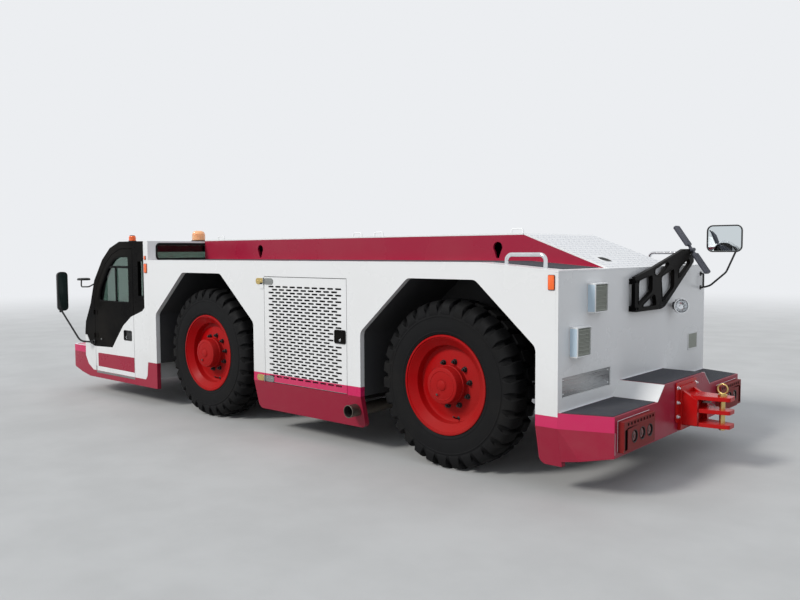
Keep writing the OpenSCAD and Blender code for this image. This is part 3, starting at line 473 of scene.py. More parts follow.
class Shape:
    """A mesh made of closed solids. where places what is added next."""

    def __init__(self, where=None):
        self.mesh = bmesh.new()
        self.where = where or Matrix.Identity(4)

    def loft(self, rings, loop=False):
        """A skin over rings of points, each with as many points as the next."""
        rows = [[self.mesh.verts.new(self.where @ Vector(p)) for p in points] for points in rings]
        pairs = list(zip(rows, rows[1:]))
        if loop:
            pairs.append((rows[-1], rows[0]))
        for a, b in pairs:
            for i in range(len(a)):
                j = (i + 1) % len(a)
                self.mesh.faces.new((a[i], a[j], b[j], b[i]))
        if not loop:
            self.mesh.faces.new(rows[0][::-1])
            self.mesh.faces.new(rows[-1])
        return self

    def block(self, low, high):
        (x0, y0, z0), (x1, y1, z1) = low, high
        return self.prism(rect(x0, y0, x1, y1), z0, z1, "Z")

    def prism(self, outline, low, high, axis="Y"):
        """An outline given thickness: (x, z) along Y, (y, z) along X or (x, y) along Z."""
        return self.loft([[placed(axis, a, b, c) for a, b in outline] for c in (low, high)])

    def plate(self, outline, holes, low, high, axis="Y"):
        """An outline with holes, given thickness along an axis."""
        lines = [[Vector((a, b, 0.0)) for a, b in line] for line in [outline, *holes]]
        points = [p for line in lines for p in line]
        levels = [
            [self.mesh.verts.new(self.where @ Vector(placed(axis, p.x, p.y, c))) for p in points]
            for c in (low, high)
        ]
        for corners in tessellate_polygon(lines):
            for level in levels:
                self.mesh.faces.new([level[i] for i in corners])
        start = 0
        for line in lines:
            for i in range(len(line)):
                a, b = start + i, start + (i + 1) % len(line)
                self.mesh.faces.new((levels[0][a], levels[0][b], levels[1][b], levels[1][a]))
            start += len(line)
        return self

    def drum(self, radius, low, high, steps=32):
        """A cylinder along Z."""
        return self.stack(steps, (radius, low), (radius, high))

    def stack(self, steps, *rows):
        """A solid round Z with a ring of points at each (radius, height)."""
        return self.loft([ring(radius, steps, height) for radius, height in rows])

    def layers(self, outline, axis, *rows):
        """A solid over an outline, which is drawn in by the depth of each (level, depth) along an axis."""
        return self.loft([
            [placed(axis, a, b, level) for a, b in inset(outline, depth)] for level, depth in rows
        ])

    def lathe(self, profile, steps=48):
        """A closed profile of (radius, height) turned round Z."""
        def section(i):
            a = math.tau * i / steps
            return [(r * math.cos(a), r * math.sin(a), h) for r, h in profile]
        return self.loft([section(i) for i in range(steps)], loop=True)

    def band(self, outer, inner, low, high, axis="Y"):
        """A flat ring between two outlines with as many points as each other."""
        lines = ((outer, low), (outer, high), (inner, high), (inner, low))
        return self.loft([[placed(axis, a, b, c) for a, b in line] for line, c in lines], loop=True)

    def dome(self, radius, low, high, steps=32, rows=6):
        """A low round dome that stands on low and reaches high."""
        angles = [math.pi / 2 * i / rows for i in range(rows)]
        curve = [(radius * math.cos(a), low + (high - low) * math.sin(a)) for a in angles]
        return self.stack(steps, (radius, low - 0.001), *curve, (0.02 * radius, high))

    def at(self, place=None):
        """The same shape, with what is added next placed there."""
        self.where = place or Matrix.Identity(4)
        return self

    def join(self, other):
        """Takes in another shape's solids, which uses that shape up."""
        data = bpy.data.meshes.new("blank")
        other.mesh.to_mesh(data)
        other.mesh.free()
        self.mesh.from_mesh(data)
        bpy.data.meshes.remove(data)
        return self

    def tube(self, points, radius, sides=12):
        """A round bar along a line."""
        points = [Vector(p) for p in points]
        up = Vector((0.0, 0.0, 1.0))
        rings = []
        for before, point, after in zip(points[:1] + points, points, points[1:] + points[-1:]):
            ahead = (after - before).normalized()
            if abs(ahead.dot(up)) > 0.98:
                up = Vector((1.0, 0.0, 0.0))
            side = ahead.cross(up).normalized()
            up = side.cross(ahead).normalized()
            rings.append([point + radius * (side * x + up * y) for x, y, _ in ring(1.0, sides)])
        return self.loft(rings)

    def nut(self, radius, height):
        """A hexagonal bolt head with its washer, standing along Z."""
        self.drum(1.35 * radius, 0.0, 0.2 * height, 20)
        return self.stack(6, (radius, 0.2 * height), (radius, 0.8 * height), (0.82 * radius, height))

    def make(self, name, finish, slot, bevel=0.0, angle=32.0, body="tractor"):
        """The finished piece, riding on its body."""
        bmesh.ops.recalc_face_normals(self.mesh, faces=self.mesh.faces)
        for face in self.mesh.faces:
            face.smooth = True
        for edge in self.mesh.edges:
            if len(edge.link_faces) == 2 and edge.calc_face_angle() > math.radians(angle):
                edge.smooth = False
        made = linked(name, self.mesh)
        made.data.materials.append(MATERIALS[finish])
        if bevel:
            cut = made.modifiers.new("bevel", "BEVEL")
            cut.width = bevel
            cut.segments = 2
            cut.limit_method = "ANGLE"
            cut.angle_limit = math.radians(40)
        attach(made, body)
        return made


def mirrored(side):
    """The left side's places for the left, and their mirror image for the right."""
    return Matrix.Diagonal((1.0, SIDES[side], 1.0, 1.0))


def wheel_place(end, side):
    """Places a wheel's own Z axis outwards along its axle, with angles from the front over the ground."""
    return mirrored(side) @ move(AXLE_X[end], TYRE_Y, TYRE_R) @ turn("X", -90)


# Tyres

LUGS = 30
LUG_SHARE = 0.7
LUG_SECTION = ((0.046, 1.12), (0.004, 1.0), (0.0, 0.90))
SHOULDER_R = 0.606
# Stations down a lug: radius, distance from the middle, share of the pitch, and how far it leans round
LUG_STATIONS = (
    (0.6200, 0.0140, 0.62, 0.10), (0.6205, 0.0500, 0.66, 0.06), (0.6195, 0.0880, 0.70, 0.02),
    (0.6160, 0.1120, 0.68, 0.0), (0.6040, 0.1360, 0.60, 0.0), (0.5870, 0.1480, 0.56, 0.0),
    (0.5680, 0.1552, 0.60, 0.0), (0.5440, 0.1592, 0.72, 0.0), (0.5260, 0.1606, 0.82, 0.0),
    (0.5190, 0.1590, 0.84, 0.0),
)


def lug(start, sign):
    """Rings of points down one lug, from near the tread's middle round the shoulder to the sidewall."""
    pitch = math.tau / LUGS
    rings = []
    for radius, across, share, lean in LUG_STATIONS:
        middle = (start + LUG_SHARE / 2 + lean) * pitch
        outward = max(0.0, min(1.0, (SHOULDER_R - radius) / 0.05))
        half = []
        for sink, width in LUG_SECTION:
            deep = radius - sink * (1.0 - 0.75 * outward)
            half.append((deep, across - sink * outward, width * share / 2 * pitch))
        section = half + [(r, w, -a) for r, w, a in half[::-1]]
        rings.append([(r * math.cos(middle - a), r * math.sin(middle - a), sign * w) for r, w, a in section])
    return rings


def tyre(end, side):
    """A tyre with raised rings on its sidewalls and two staggered rows of lugs."""
    half = TYRE_W / 2
    outer = [
        (0.3325, 0.1275), (0.3685, 0.1395), (0.3715, 0.1480), (0.3760, 0.1510), (0.3860, 0.1530),
        (0.3885, 0.1560), (0.3940, 0.1565), (0.3965, 0.1550), (0.4140, 0.1578), (0.4300, half),
        (0.4700, half), (0.4960, half - 0.0004), (0.4985, half + 0.0022), (0.5045, half + 0.0020),
        (0.5070, half - 0.0012), (0.5200, half - 0.0025), (0.5330, 0.1545), (0.5580, 0.1340),
        (0.5800, 0.1130), (0.5920, 0.0980), (0.5925, 0.0),
    ]
    shape = Shape(wheel_place(end, side))
    shape.lathe(outer + [(r, -w) for r, w in outer[-2::-1]], 120)
    for sign, shift in ((1, 0.0), (-1, 0.5)):
        for i in range(LUGS):
            shape.loft(lug(i + shift, sign))
    made = shape.make(f"tyre_tread_{end}_{side}", "rubber", "tyre", angle=34, body=f"wheel_{end}_{side}")
    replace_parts(made, f"tyre_{end}_{side}")


NUTS = 10
NUT_RING_R = 0.1675
NUT_START = 8
VALVE = (103, 0.256)
PLUG = (60, 0.078)
DISC_W = 0.055
CAP_W = 0.178
CAP_R = 0.137
FLANGE_R = 0.368
FLANGE_W = 0.154


def wheel_details(end, side):
    """Dark wheel nuts on their studs, the valve, and the lid and plug of the hub cap."""
    place = wheel_place(end, side)
    body = f"wheel_{end}_{side}"
    nuts = Shape()
    for i in range(NUTS):
        nuts.at(place @ turn("Z", NUT_START + 360 / NUTS * i) @ move(NUT_RING_R, 0.0, DISC_W))
        nuts.drum(0.021, 0.0, 0.004, 24)
        nuts.stack(6, (0.0175, 0.004), (0.0175, 0.020), (0.0150, 0.023))
        nuts.stack(12, (0.0095, 0.020), (0.0095, 0.036), (0.0080, 0.038))
    nuts.at(place @ turn("Z", VALVE[0]) @ move(VALVE[1], 0.0, DISC_W - 0.006))
    nuts.stack(20, (0.013, 0.0), (0.013, 0.004), (0.009, 0.007))
    nuts.tube([(0, 0, 0.0), (0, 0, 0.02), (-0.008, 0, 0.045), (-0.02, 0, 0.062)], 0.0055, 10)
    nuts.make(f"wheel_nuts_{end}_{side}", "trim", "black_paint", 0.0006, body=body)
    cap = Shape(place)
    cap.stack(40, (0.036, CAP_W), (0.036, CAP_W + 0.003), (0.031, CAP_W + 0.006))
    low, high = CAP_W - 0.001, CAP_W + 0.0015
    cap.lathe([(0.100, low), (0.104, high), (0.108, high), (0.112, low)], 64)
    cap.at(place @ turn("Z", PLUG[0]) @ move(PLUG[1], 0.0, CAP_W))
    cap.stack(24, (0.017, 0.0), (0.017, 0.003), (0.015, 0.005))
    cap.make(f"hub_cap_{end}_{side}", "red", "red_paint", 0.0005, body=body)
    plug = Shape(place @ turn("Z", PLUG[0]) @ move(PLUG[1], 0.0, CAP_W + 0.005))
    plug.stack(6, (0.009, 0.0), (0.009, 0.005), (0.0075, 0.006))
    plug.make(f"hub_plug_{end}_{side}", "chassis", "chassis_paint", 0.0004, body=body)


def inset(points, depth):
    """A closed outline drawn in by a depth."""
    area = sum(a[0] * b[1] - b[0] * a[1] for a, b in zip(points, points[1:] + points[:1]))
    side = depth if area > 0 else -depth
    line = []
    for i, (x, y) in enumerate(points):
        before = Vector((x - points[i - 1][0], y - points[i - 1][1])).normalized()
        next_x, next_y = points[(i + 1) % len(points)]
        after = Vector((next_x - x, next_y - y)).normalized()
        middle = (before + after).normalized()
        reach = side / max(0.35, middle.dot(before))
        line.append((x - middle.y * reach, y + middle.x * reach))
    return line


def blank(shape):
    """An object made only to cut or be cut."""
    bmesh.ops.recalc_face_normals(shape.mesh, faces=shape.mesh.faces)
    return linked("blank", shape.mesh)


def like(node):
    """A shape that starts as a copy of a node's mesh."""
    shape = Shape()
    shape.mesh.from_mesh(NODES[node].data)
    bmesh.ops.remove_doubles(shape.mesh, verts=shape.mesh.verts, dist=1e-5)
    return shape


def carved(shape, *steps):
    """The shape after each (operation, other shape) in turn."""
    target = blank(shape)
    used = [target]
    for operation, other in steps:
        used.append(blank(other))
        cut = target.modifiers.new("cut", "BOOLEAN")
        cut.operation = operation
        cut.object = used[-1]
        cut.solver = "EXACT"
    result = Shape()
    result.mesh.from_mesh(target.evaluated_get(bpy.context.evaluated_depsgraph_get()).data)
    bmesh.ops.remove_doubles(result.mesh, verts=result.mesh.verts, dist=1e-5)
    for made in used:
        data = made.data
        bpy.data.objects.remove(made)
        bpy.data.meshes.remove(data)
    return result


# Rims

def rim(end, side):
    """A dished rim: bead ring, sloping band, deep disc and the tall cap of the hub."""
    profile = [
        (0.045, DISC_W - 0.025), (0.310, DISC_W - 0.025), (0.310, -FLANGE_W), (FLANGE_R, -FLANGE_W),
        (FLANGE_R, 0.014 - FLANGE_W), (0.332, 0.026 - FLANGE_W), (0.332, FLANGE_W - 0.026),
        (FLANGE_R, FLANGE_W - 0.014), (FLANGE_R, FLANGE_W - 0.004), (0.3665, FLANGE_W - 0.0012),
        (0.363, FLANGE_W),
        (0.354, FLANGE_W), (0.3515, FLANGE_W - 0.002), (0.350, FLANGE_W - 0.008), (0.344, FLANGE_W - 0.008),
        (0.341, FLANGE_W - 0.011), (0.290, DISC_W + 0.048), (0.287, DISC_W + 0.040), (0.284, DISC_W + 0.006),
        (0.280, DISC_W - 0.002), (0.270, DISC_W - 0.006), (0.248, DISC_W - 0.006), (0.236, DISC_W),
        (CAP_R + 0.014, DISC_W), (CAP_R + 0.004, DISC_W + 0.004), (CAP_R, DISC_W + 0.014), (CAP_R, 0.092),
        (CAP_R + 0.007, 0.094), (CAP_R + 0.007, 0.106), (CAP_R, 0.108), (CAP_R - 0.002, CAP_W - 0.010),
        (CAP_R - 0.005, CAP_W - 0.003), (CAP_R - 0.011, CAP_W), (0.045, CAP_W),
    ]
    shape = Shape(wheel_place(end, side))
    shape.lathe(profile, 96)
    shape.drum(0.046, CAP_W - 0.03, CAP_W, 32)
    made = shape.make(f"rim_dished_{end}_{side}", "red", "red_paint", angle=28, body=f"wheel_{end}_{side}")
    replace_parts(made, f"rim_{end}_{side}")


# Body sides

SKIRT_LOW_Z = 0.195
SKIRT_MIDDLE_Z = 0.30
SKIRT_LEAN = 0.06
SKIRT_ROUND = 0.05
SIDE_T = 0.045
ARCH_SHIFT = -0.025
ARCH_HALF = 0.79
ARCH = {end: (x + ARCH_SHIFT - ARCH_HALF, x + ARCH_SHIFT + ARCH_HALF) for end, x in AXLE_X.items()}
GRILLE_X = (AXLE_X["rear"] + 0.91, AXLE_X["rear"] + 1.93)
GRILLE_TOP_Z = 1.38
HINGE_Z = (FOLD_Z + 0.004, GRILLE_TOP_Z - 0.070)
HINGE_H = 0.055
EXHAUST = (ARCH["rear"][1] + 0.07, 0.34)


def on_side(side, x, y, z):
    """Places a shape's local Z straight out of a side of the body."""
    return mirrored(side) @ move(x, y, z) @ turn("X", -90)


def skirt_rows(x0, x1, first_round, top, steps=7):
    """Sections of a folded skirt from its top down, with its rear end's lower corner rounded if wanted."""
    heights = [top, FOLD_Z, SKIRT_MIDDLE_Z] if top > FOLD_Z else [FOLD_Z, SKIRT_MIDDLE_Z]
    heights += [SKIRT_LOW_Z + SKIRT_ROUND * (1 - math.sin(math.pi / 2 * i / steps)) for i in range(steps + 1)]
    rows = []
    for z in heights:
        drop = max(0.0, SKIRT_LOW_Z + SKIRT_ROUND - z)
        back = SKIRT_ROUND - math.sqrt(max(0.0, SKIRT_ROUND ** 2 - drop ** 2))
        y = HALF_W - SKIRT_LEAN * max(0.0, FOLD_Z - z) / (FOLD_Z - SKIRT_LOW_Z)
        a = x0 + (back if first_round else 0.0)
        b = x1 - back
        rows.append([(a, y, z), (b, y, z), (b, y - SIDE_T, z), (a, y - SIDE_T, z)])
    return rows


def hinge_leaf(shape, side, z, ends, inner_y, radius, rivets):
    """One leaf of a side door's hinge with its rivets, whose places run from the hinge's axis."""
    line = round_rect(GRILLE_X[1] + ends[0], z, GRILLE_X[1] + ends[1], z + HINGE_H, radius)
    shape.at(mirrored(side)).prism(line, inner_y, HALF_W + 0.004)
    for x in rivets:
        shape.at(on_side(side, GRILLE_X[1] + x, HALF_W + 0.004, z + HINGE_H / 2))
        shape.dome(0.0065, 0.0, 0.003, 16, 3)


def skirts():
    """The folded skirts, the white feet of the side panels by the cab, and the hinges' fixed leaves."""
    shape = Shape()
    foot = Shape()
    leaf = Shape()
    for side in SIDES:
        shape.at(mirrored(side))
        shape.loft(skirt_rows(WALL_X, ARCH["rear"][0], False, SKIRT_TOP_Z))
        shape.loft(skirt_rows(ARCH["rear"][1], ARCH["front"][0], True, FOLD_Z))
        for a, b in ((ARCH["rear"][1], GRILLE_X[0]), (GRILLE_X[1], ARCH["front"][0])):
            shape.block((a, HALF_W - SIDE_T, FOLD_Z), (b, HALF_W, SKIRT_TOP_Z))
        foot.at(mirrored(side))
        foot.block((ARCH["front"][1], HALF_W - SIDE_T, FOLD_Z), (CAB_X, HALF_W, SKIRT_TOP_Z))
        for z in HINGE_Z:
            hinge_leaf(leaf, side, z, (0.0063, 0.108), HALF_W - 0.001, 0.026, (0.035, 0.080))
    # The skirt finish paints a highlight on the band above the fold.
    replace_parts(shape.make("folded_skirts", "skirt", "maroon_paint", angle=12), "skirts")
    foot.make("side_panel_feet", "white", "white_paint")
    leaf.make("grille_hinge_leaves", "zinc", "zinc", 0.0006)


# Side doors

GRILLE_GAP = 0.005
GRILLE_BORDER = 0.062
GRILLE_FOLD = 0.045
SHEET_T = 0.004
SLOT_ROWS = 31
SLOTS = 10
SLOT_PITCH = 0.092
ROW_PITCH = 0.026
SLOT_L = 0.070
SLOT_H = 0.0145
LATCH = (GRILLE_X[0] + 0.076, 0.915)
LATCH_BOX = (LATCH[0] - 0.064, LATCH[1] - 0.057, LATCH[0] + 0.064, LATCH[1] + 0.053)
LATCH_CLEAR = 0.072
LATCH_Y = HALF_W + 0.0035


def slot_line(x, z, steps=5):
    """Outline of a slot with round ends, from its upper left."""
    r = SLOT_H / 2
    line = []
    for middle, start in ((x + SLOT_L - r, -90), (x + r, 90)):
        for i in range(steps + 1):
            a = math.radians(start + 180 * i / steps)
            line.append((middle + r * math.cos(a), z - r + r * math.sin(a)))
    return line


def slot_lines():
    """A side door's slots in staggered rows, apart from those whose room the latch takes."""
    start = GRILLE_X[0] + (GRILLE_X[1] - GRILLE_X[0] - (SLOTS - 1) * SLOT_PITCH - SLOT_L) / 2
    lines = []
    for row in range(SLOT_ROWS):
        z = GRILLE_TOP_Z - GRILLE_BORDER - 0.018 - row * ROW_PITCH
        for i in range(SLOTS - row % 2):
            x = start + (i + (row % 2) / 2) * SLOT_PITCH
            if x > LATCH[0] + LATCH_CLEAR or abs(z - LATCH[1]) > LATCH_CLEAR:
                lines.append(slot_line(x, z))
    return lines


def grille_door(side):
    """A perforated sheet on its folded frame, with a pale line along its foot, its latch and hinges."""
    body = f"side_door_{side}"
    place = mirrored(side)
    x0, x1 = GRILLE_X[0] + GRILLE_GAP, GRILLE_X[1] - GRILLE_GAP
    z0, z1 = FOLD_Z + GRILLE_GAP, GRILLE_TOP_Z - GRILLE_GAP
    edge = rect(x0, z0, x1, z1)
    inner = rect(x0 + GRILLE_FOLD, z0 + GRILLE_FOLD, x1 - GRILLE_FOLD, z1 - GRILLE_FOLD)
    sheet = Shape(place)
    sheet.plate(edge, slot_lines(), HALF_W - SHEET_T, HALF_W)
    sheet.band(edge, inner, HALF_W - 0.03, HALF_W - SHEET_T)
    made = sheet.make(f"grille_sheet_{side}", "door_white", "white_paint", body=body)
    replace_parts(made, f"grille_door_{side}")
    grille_latch(side, body)
    strip = Shape(place)
    strip.block((x0 + 0.002, HALF_W - 0.001, z0), (x1 - 0.002, HALF_W + 0.0012, z0 + 0.0035))
    strip.make(f"grille_foot_line_{side}", "galvanised", "white_paint", body=body)
    grille_lock(side, body)
    grille_hinges(side, body)


def grille_latch(side, body):
    """The latch's box with its rim and paddle."""
    outer = round_rect(*LATCH_BOX, 0.015)
    box = Shape(mirrored(side))
    box.prism(outer, HALF_W - 0.03, LATCH_Y)
    box.band(outer, inset(outer, 0.011), LATCH_Y, LATCH_Y + 0.0035)
    x0, z0, x1, z1 = LATCH_BOX
    box.prism(round_rect(x0 + 0.02, z0 + 0.042, x1 - 0.02, z1 - 0.02, 0.008), LATCH_Y, LATCH_Y + 0.003)
    box.make(f"grille_latch_{side}", "black", "black_paint", 0.0008, body=body)


def grille_lock(side, body):
    """The round lock low in the latch's box, with its keyhole's ridge."""
    lock = Shape(on_side(side, LATCH[0], LATCH_Y, LATCH_BOX[1] + 0.027))
    lock.stack(28, (0.011, 0.0), (0.011, 0.0025), (0.009, 0.0035))
    lock.block((-0.0012, -0.006, 0.003), (0.0012, 0.006, 0.0042))
    lock.make(f"grille_lock_{side}", "steel", "steel", 0.0003, body=body)


def grille_hinges(side, body):
    """The hinges' knuckles round their pins, and the leaves on the door."""
    hinge = Shape()
    for z in HINGE_Z:
        hinge.at(mirrored(side) @ move(GRILLE_X[1], HALF_W + 0.006, z))
        for k in range(3):
            hinge.drum(0.006, 0.0185 * k, 0.0185 * k + 0.0175, 20)
        hinge.drum(0.0045, -0.002, HINGE_H + 0.002, 16)
        hinge_leaf(hinge, side, z, (-0.125, -0.001), HALF_W, 0.0265, (-0.035, -0.090))
    hinge.make(f"grille_hinges_{side}", "galvanised", "steel", 0.0005, body=body)


def exhaust_end():
    """The exhaust's open end with its rolled lip and its hanger, and soot inside."""
    place = on_side("left", EXHAUST[0], 0.0, EXHAUST[1])
    end_y = HALF_W + 0.070
    pipe = Shape(place)
    pipe.lathe([
        (0.050, 0.60), (0.050, end_y - 0.006), (0.0515, end_y - 0.004), (0.0515, end_y - 0.001),
        (0.050, end_y), (0.0455, end_y), (0.0455, 0.60),
    ])
    pipe.at().block((EXHAUST[0] - 0.02, 0.70, EXHAUST[1] + 0.045), (EXHAUST[0] + 0.02, 0.74, 0.413))
    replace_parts(pipe.make("exhaust_tail", "exhaust", "exhaust"), "exhaust_pipe")
    soot = Shape(place)
    rear_y, front_y = HALF_W - 0.25, end_y - 0.008
    soot.lathe([(0.0455, rear_y), (0.0455, front_y), (0.0445, front_y), (0.0445, rear_y)], 40)
    soot.drum(0.045, rear_y - 0.01, rear_y + 0.01)
    soot.make("exhaust_soot", "soot", "exhaust")


# Rear end

LOUVRES = ((0.676, 1.172), (0.913, 0.895))
LOUVRE_W = 0.195
LOUVRE_H = 0.205
LOUVRE_DEPTH = 0.06
LOUVRE_EDGE = 0.012
VENT = (-1.09, 0.76, -0.90, 0.89)
RECESS = (0.52, 0.645, 1.195, 0.775)


def facing_back(x, y, z):
    """Places a shape's local Z backwards, with its local X up."""
    return move(x, y, z) @ turn("Y", -90)


def louvre_box(y, z):
    """A box on the rear wall with a window in its outer face."""
    depth, height, edge = LOUVRE_DEPTH, LOUVRE_H, LOUVRE_EDGE
    profile = [(0.0, 0.0), (-depth, 0.3 * edge), (-depth, height - 0.3 * edge), (0.0, height)]
    place = move(WALL_X, y, z)
    window = Shape(place).prism(rect(-depth - 0.001, edge, -edge, height - edge), edge, LOUVRE_W - edge)
    return carved(Shape(place).prism(profile, 0.0, LOUVRE_W), ("DIFFERENCE", window))


def louvre_grid(grids, y, z):
    """The lattice in a louvre's window: level and upright wires, wider level bars and a sheet behind them."""
    grids.at(move(WALL_X, y, z))
    low, right, top = LOUVRE_EDGE, LOUVRE_W - LOUVRE_EDGE, LOUVRE_H - LOUVRE_EDGE
    x = 0.008 - LOUVRE_DEPTH
    for i in range(19):
        level = low + 0.009 * i
        grids.block((x, low, level + 0.004), (x + 0.002, right, level + 0.0075))
    for i in range(18):
        left = low + 0.0093 * i
        grids.block((x + 0.0015, left + 0.004, low), (x + 0.003, left + 0.0065, top))
    for i in range(7):
        level = low + 0.008 + 0.026 * i
        grids.block((x - 0.004, low, level), (x + 0.001, right, level + 0.004))
    grids.block((x + 0.006, low, low), (x + 0.008, right, top))


def louvres():
    """Two boxes filled with grey lattice, a pale blue strip on the side of each that is painted sky light on
    the boxes' white side plates, and the low vent in its frame.
    """
    boxes = Shape()
    grids = Shape()
    flanks = Shape()
    edge = LOUVRE_EDGE
    for y, z in LOUVRES:
        boxes.join(louvre_box(y, z))
        louvre_grid(grids, y, z)
        flanks.at(move(WALL_X, y + LOUVRE_W, z))
        flanks.block((0.004 - LOUVRE_DEPTH, -0.0005, edge), (-0.006, 0.0015, LOUVRE_H - edge))
    y0, z0, y1, z1 = VENT
    grids.at(move(WALL_X, 0.0, 0.0)).block((-0.0015, y0, z0), (0.0, y1, z1))
    for i in range(14):
        level = z0 + 0.006 + 0.009 * i
        grids.block((-0.0035, y0 + 0.004, level), (-0.001, y1 - 0.004, level + 0.003))
    boxes.make("louvre_boxes", "white", "white_paint", 0.0015)
    grids.make("louvre_grids", "mesh", "chassis_paint")
    # The strips' pale blue is painted sky light on white plates.
    flanks.make("louvre_flanks", "sky_lit_white", "white_paint", 0.0006)
    border = round_rect(y0 - 0.006, z0 - 0.006, y1 + 0.006, z1 + 0.006, 0.006)
    vent_frame = Shape().band(border, inset(border, 0.010), WALL_X - 0.0045, WALL_X, "X")
    vent_frame.make("vent_frame", "white", "white_paint", 0.0006)


def recess_sheet():
    """The stainless sheet in the rear wall's recess, in a thin dark joint, and its four screws."""
    y0, z0, y1, z1 = RECESS
    sheet = Shape().block((WALL_X + 0.0075, y0 + 0.002, z0 + 0.002), (WALL_X + 0.010, y1 - 0.002, z1 - 0.002))
    sheet.make("recess_sheet", "sheet", "steel", 0.0008)
    screws = Shape()
    for y in (y0 + 0.025, y1 - 0.025):
        for z in (z0 + 0.02, z1 - 0.02):
            screws.at(facing_back(WALL_X + 0.0075, y, z)).dome(0.006, 0.0, 0.003, 16, 3)
    screws.make("recess_screws", "chrome", "steel")


SLOPE_TOP = (WALL_X + 0.70, 1.725)
SLOPE_FOOT = (WALL_X, 1.466)
LIFT_HOLE = (WALL_X + 0.161, 0.307)
TREAD_ROWS = 17
TREADS = 26
TREAD_START = (WALL_X + 0.035, -0.52)
TREAD_PITCH = (0.0385, 0.0416)


def on_slope(x, y):
    """Places a shape on the sloping plate, its local X up the slope and Z out of it."""
    tilt = math.degrees(math.atan2(SLOPE_TOP[1] - SLOPE_FOOT[1], SLOPE_TOP[0] - SLOPE_FOOT[0]))
    z = SLOPE_FOOT[1] + (x - WALL_X) * math.tan(math.radians(tilt))
    return move(x, y, z) @ turn("Y", -tilt)


def slope_details():
    """Small raised tread marks in staggered rows, and the lifting hole with its lip: the hole is a thin black
    plate on the slope, painted shade for its dark inside.
    """
    marks = Shape()
    half = [(0.014, 0.0), (0.006, 0.0042), (-0.006, 0.0042)]
    mark = half + [(-a, -b) for a, b in half]
    for row in range(TREAD_ROWS):
        for column in range(TREADS - row % 2):
            x = TREAD_START[0] + TREAD_PITCH[0] * row
            y = TREAD_START[1] + (column + (row % 2) / 2) * TREAD_PITCH[1]
            if abs(x - LIFT_HOLE[0]) < 0.07 and abs(y - LIFT_HOLE[1]) < 0.09:
                continue
            marks.at(on_slope(x, y) @ turn("Z", 45 if (row + column) % 2 else -45))
            marks.loft([[(a, b, -0.0005) for a, b in mark], [(0.75 * a, 0.6 * b, 0.0018) for a, b in mark]])
    marks.make("tread_marks", "tread", "white_paint")
    place = on_slope(*LIFT_HOLE)
    line = [(b, a) for a, b in round_rect(-0.065, -0.042, 0.065, 0.042, 0.0419, 8)]
    # Painted shade: a thin black plate where the hole's dark inside would be.
    Shape(place).prism(line, -0.001, 0.0012, "Z").make("lifting_holes", "soot", "black_paint")
    lip = Shape(place).band(inset(line, -0.004), line, -0.001, 0.003, "Z")
    lip.make("lifting_hole_lips", "white", "white_paint", 0.0006)


# Mirror arm and work lamp

ARM_POST_Y = 0.2
ARM_OUT = 0.048
ARM_LINE = [
    (-40, 1142), (-40, 1396), (300, 1467), (860, 1600), (1050, 1600), (1080, 1495), (498, 1154), (417, 1140),
]
ARM_WINDOWS = [
    [(30, 1362), (30, 1200), (250, 1290), (250, 1400)],
    [(100, 1180), (300, 1255), (330, 1180)],
    [(310, 1440), (310, 1415), (400, 1400), (556, 1481), (540, 1495)],
    [(430, 1380), (460, 1200), (661, 1307), (657, 1440)],
    [(765, 1372), (775, 1440), (960, 1515), (985, 1490)],
]
HEAD_JOINT = (WALL_X - ARM_OUT, ARM_POST_Y - 1.025, 1.595)
HEAD_TILT = 35
REAR_MIRROR = (WALL_X - 0.352, 1.572, WALL_X - 0.058, 1.80)
REAR_MIRROR_Y = 0.122 - HALF_W


def arm_outline(points, radius):
    """A rounded outline from points in millimetres to the right of the arm's post and above the ground."""
    return soften([(ARM_POST_Y - a / 1000, z / 1000) for a, z in points], radius)


def lattice_arm():
    """The lattice plate with a raised lip round each window, on two bolted brackets."""
    holes = [inset(arm_outline(window, 0.022), -0.007) for window in ARM_WINDOWS]
    arm = Shape().plate(arm_outline(ARM_LINE, 0.02), holes, WALL_X - ARM_OUT, WALL_X - 0.020, "X")
    for hole in holes:
        arm.band(inset(hole, -0.006), hole, WALL_X - ARM_OUT - 0.003, WALL_X - ARM_OUT, "X")
    for z in (1.165, 1.365):
        arm.at().block((WALL_X - 0.02, ARM_POST_Y - 0.03, z - 0.02), (WALL_X, ARM_POST_Y + 0.04, z + 0.02))
        for y in (ARM_POST_Y - 0.012, ARM_POST_Y + 0.026):
            arm.at(facing_back(WALL_X - ARM_OUT, y, z)).nut(0.009, 0.007)
    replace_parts(arm.make("lattice_arm", "black", "black_paint", 0.0025), "mirror_arm")


def ridged_heads():
    """Two heads with ridged faces, back to back on a joint at the arm's end."""
    heads = Shape(move(*HEAD_JOINT) @ turn("X", -90))
    heads.stack(28, (0.012, -0.050), (0.016, -0.047), (0.016, 0.034), (0.012, 0.037))
    section = round_rect(-0.012, -0.043, 0.012, 0.043, 0.008)
    for half_turn in (0, 180):
        heads.at(move(*HEAD_JOINT) @ turn("Y", HEAD_TILT + half_turn))
        heads.drum(0.012, 0.0, 0.06, 24)
        levels = ((0.040, 0.86), (0.044, 1.0), (0.231, 1.0), (0.235, 0.86))
        heads.loft([[(a * grow, b * grow, z) for a, b in section] for z, grow in levels])
        for low in (-0.0135, 0.0115):
            for y in (-0.036, -0.018, 0.0, 0.018, 0.036):
                heads.block((low, y - 0.0035, 0.046), (low + 0.004, y + 0.0035, 0.229))
    heads.make("ridged_heads", "head_grey", "dark_trim", 0.0008)


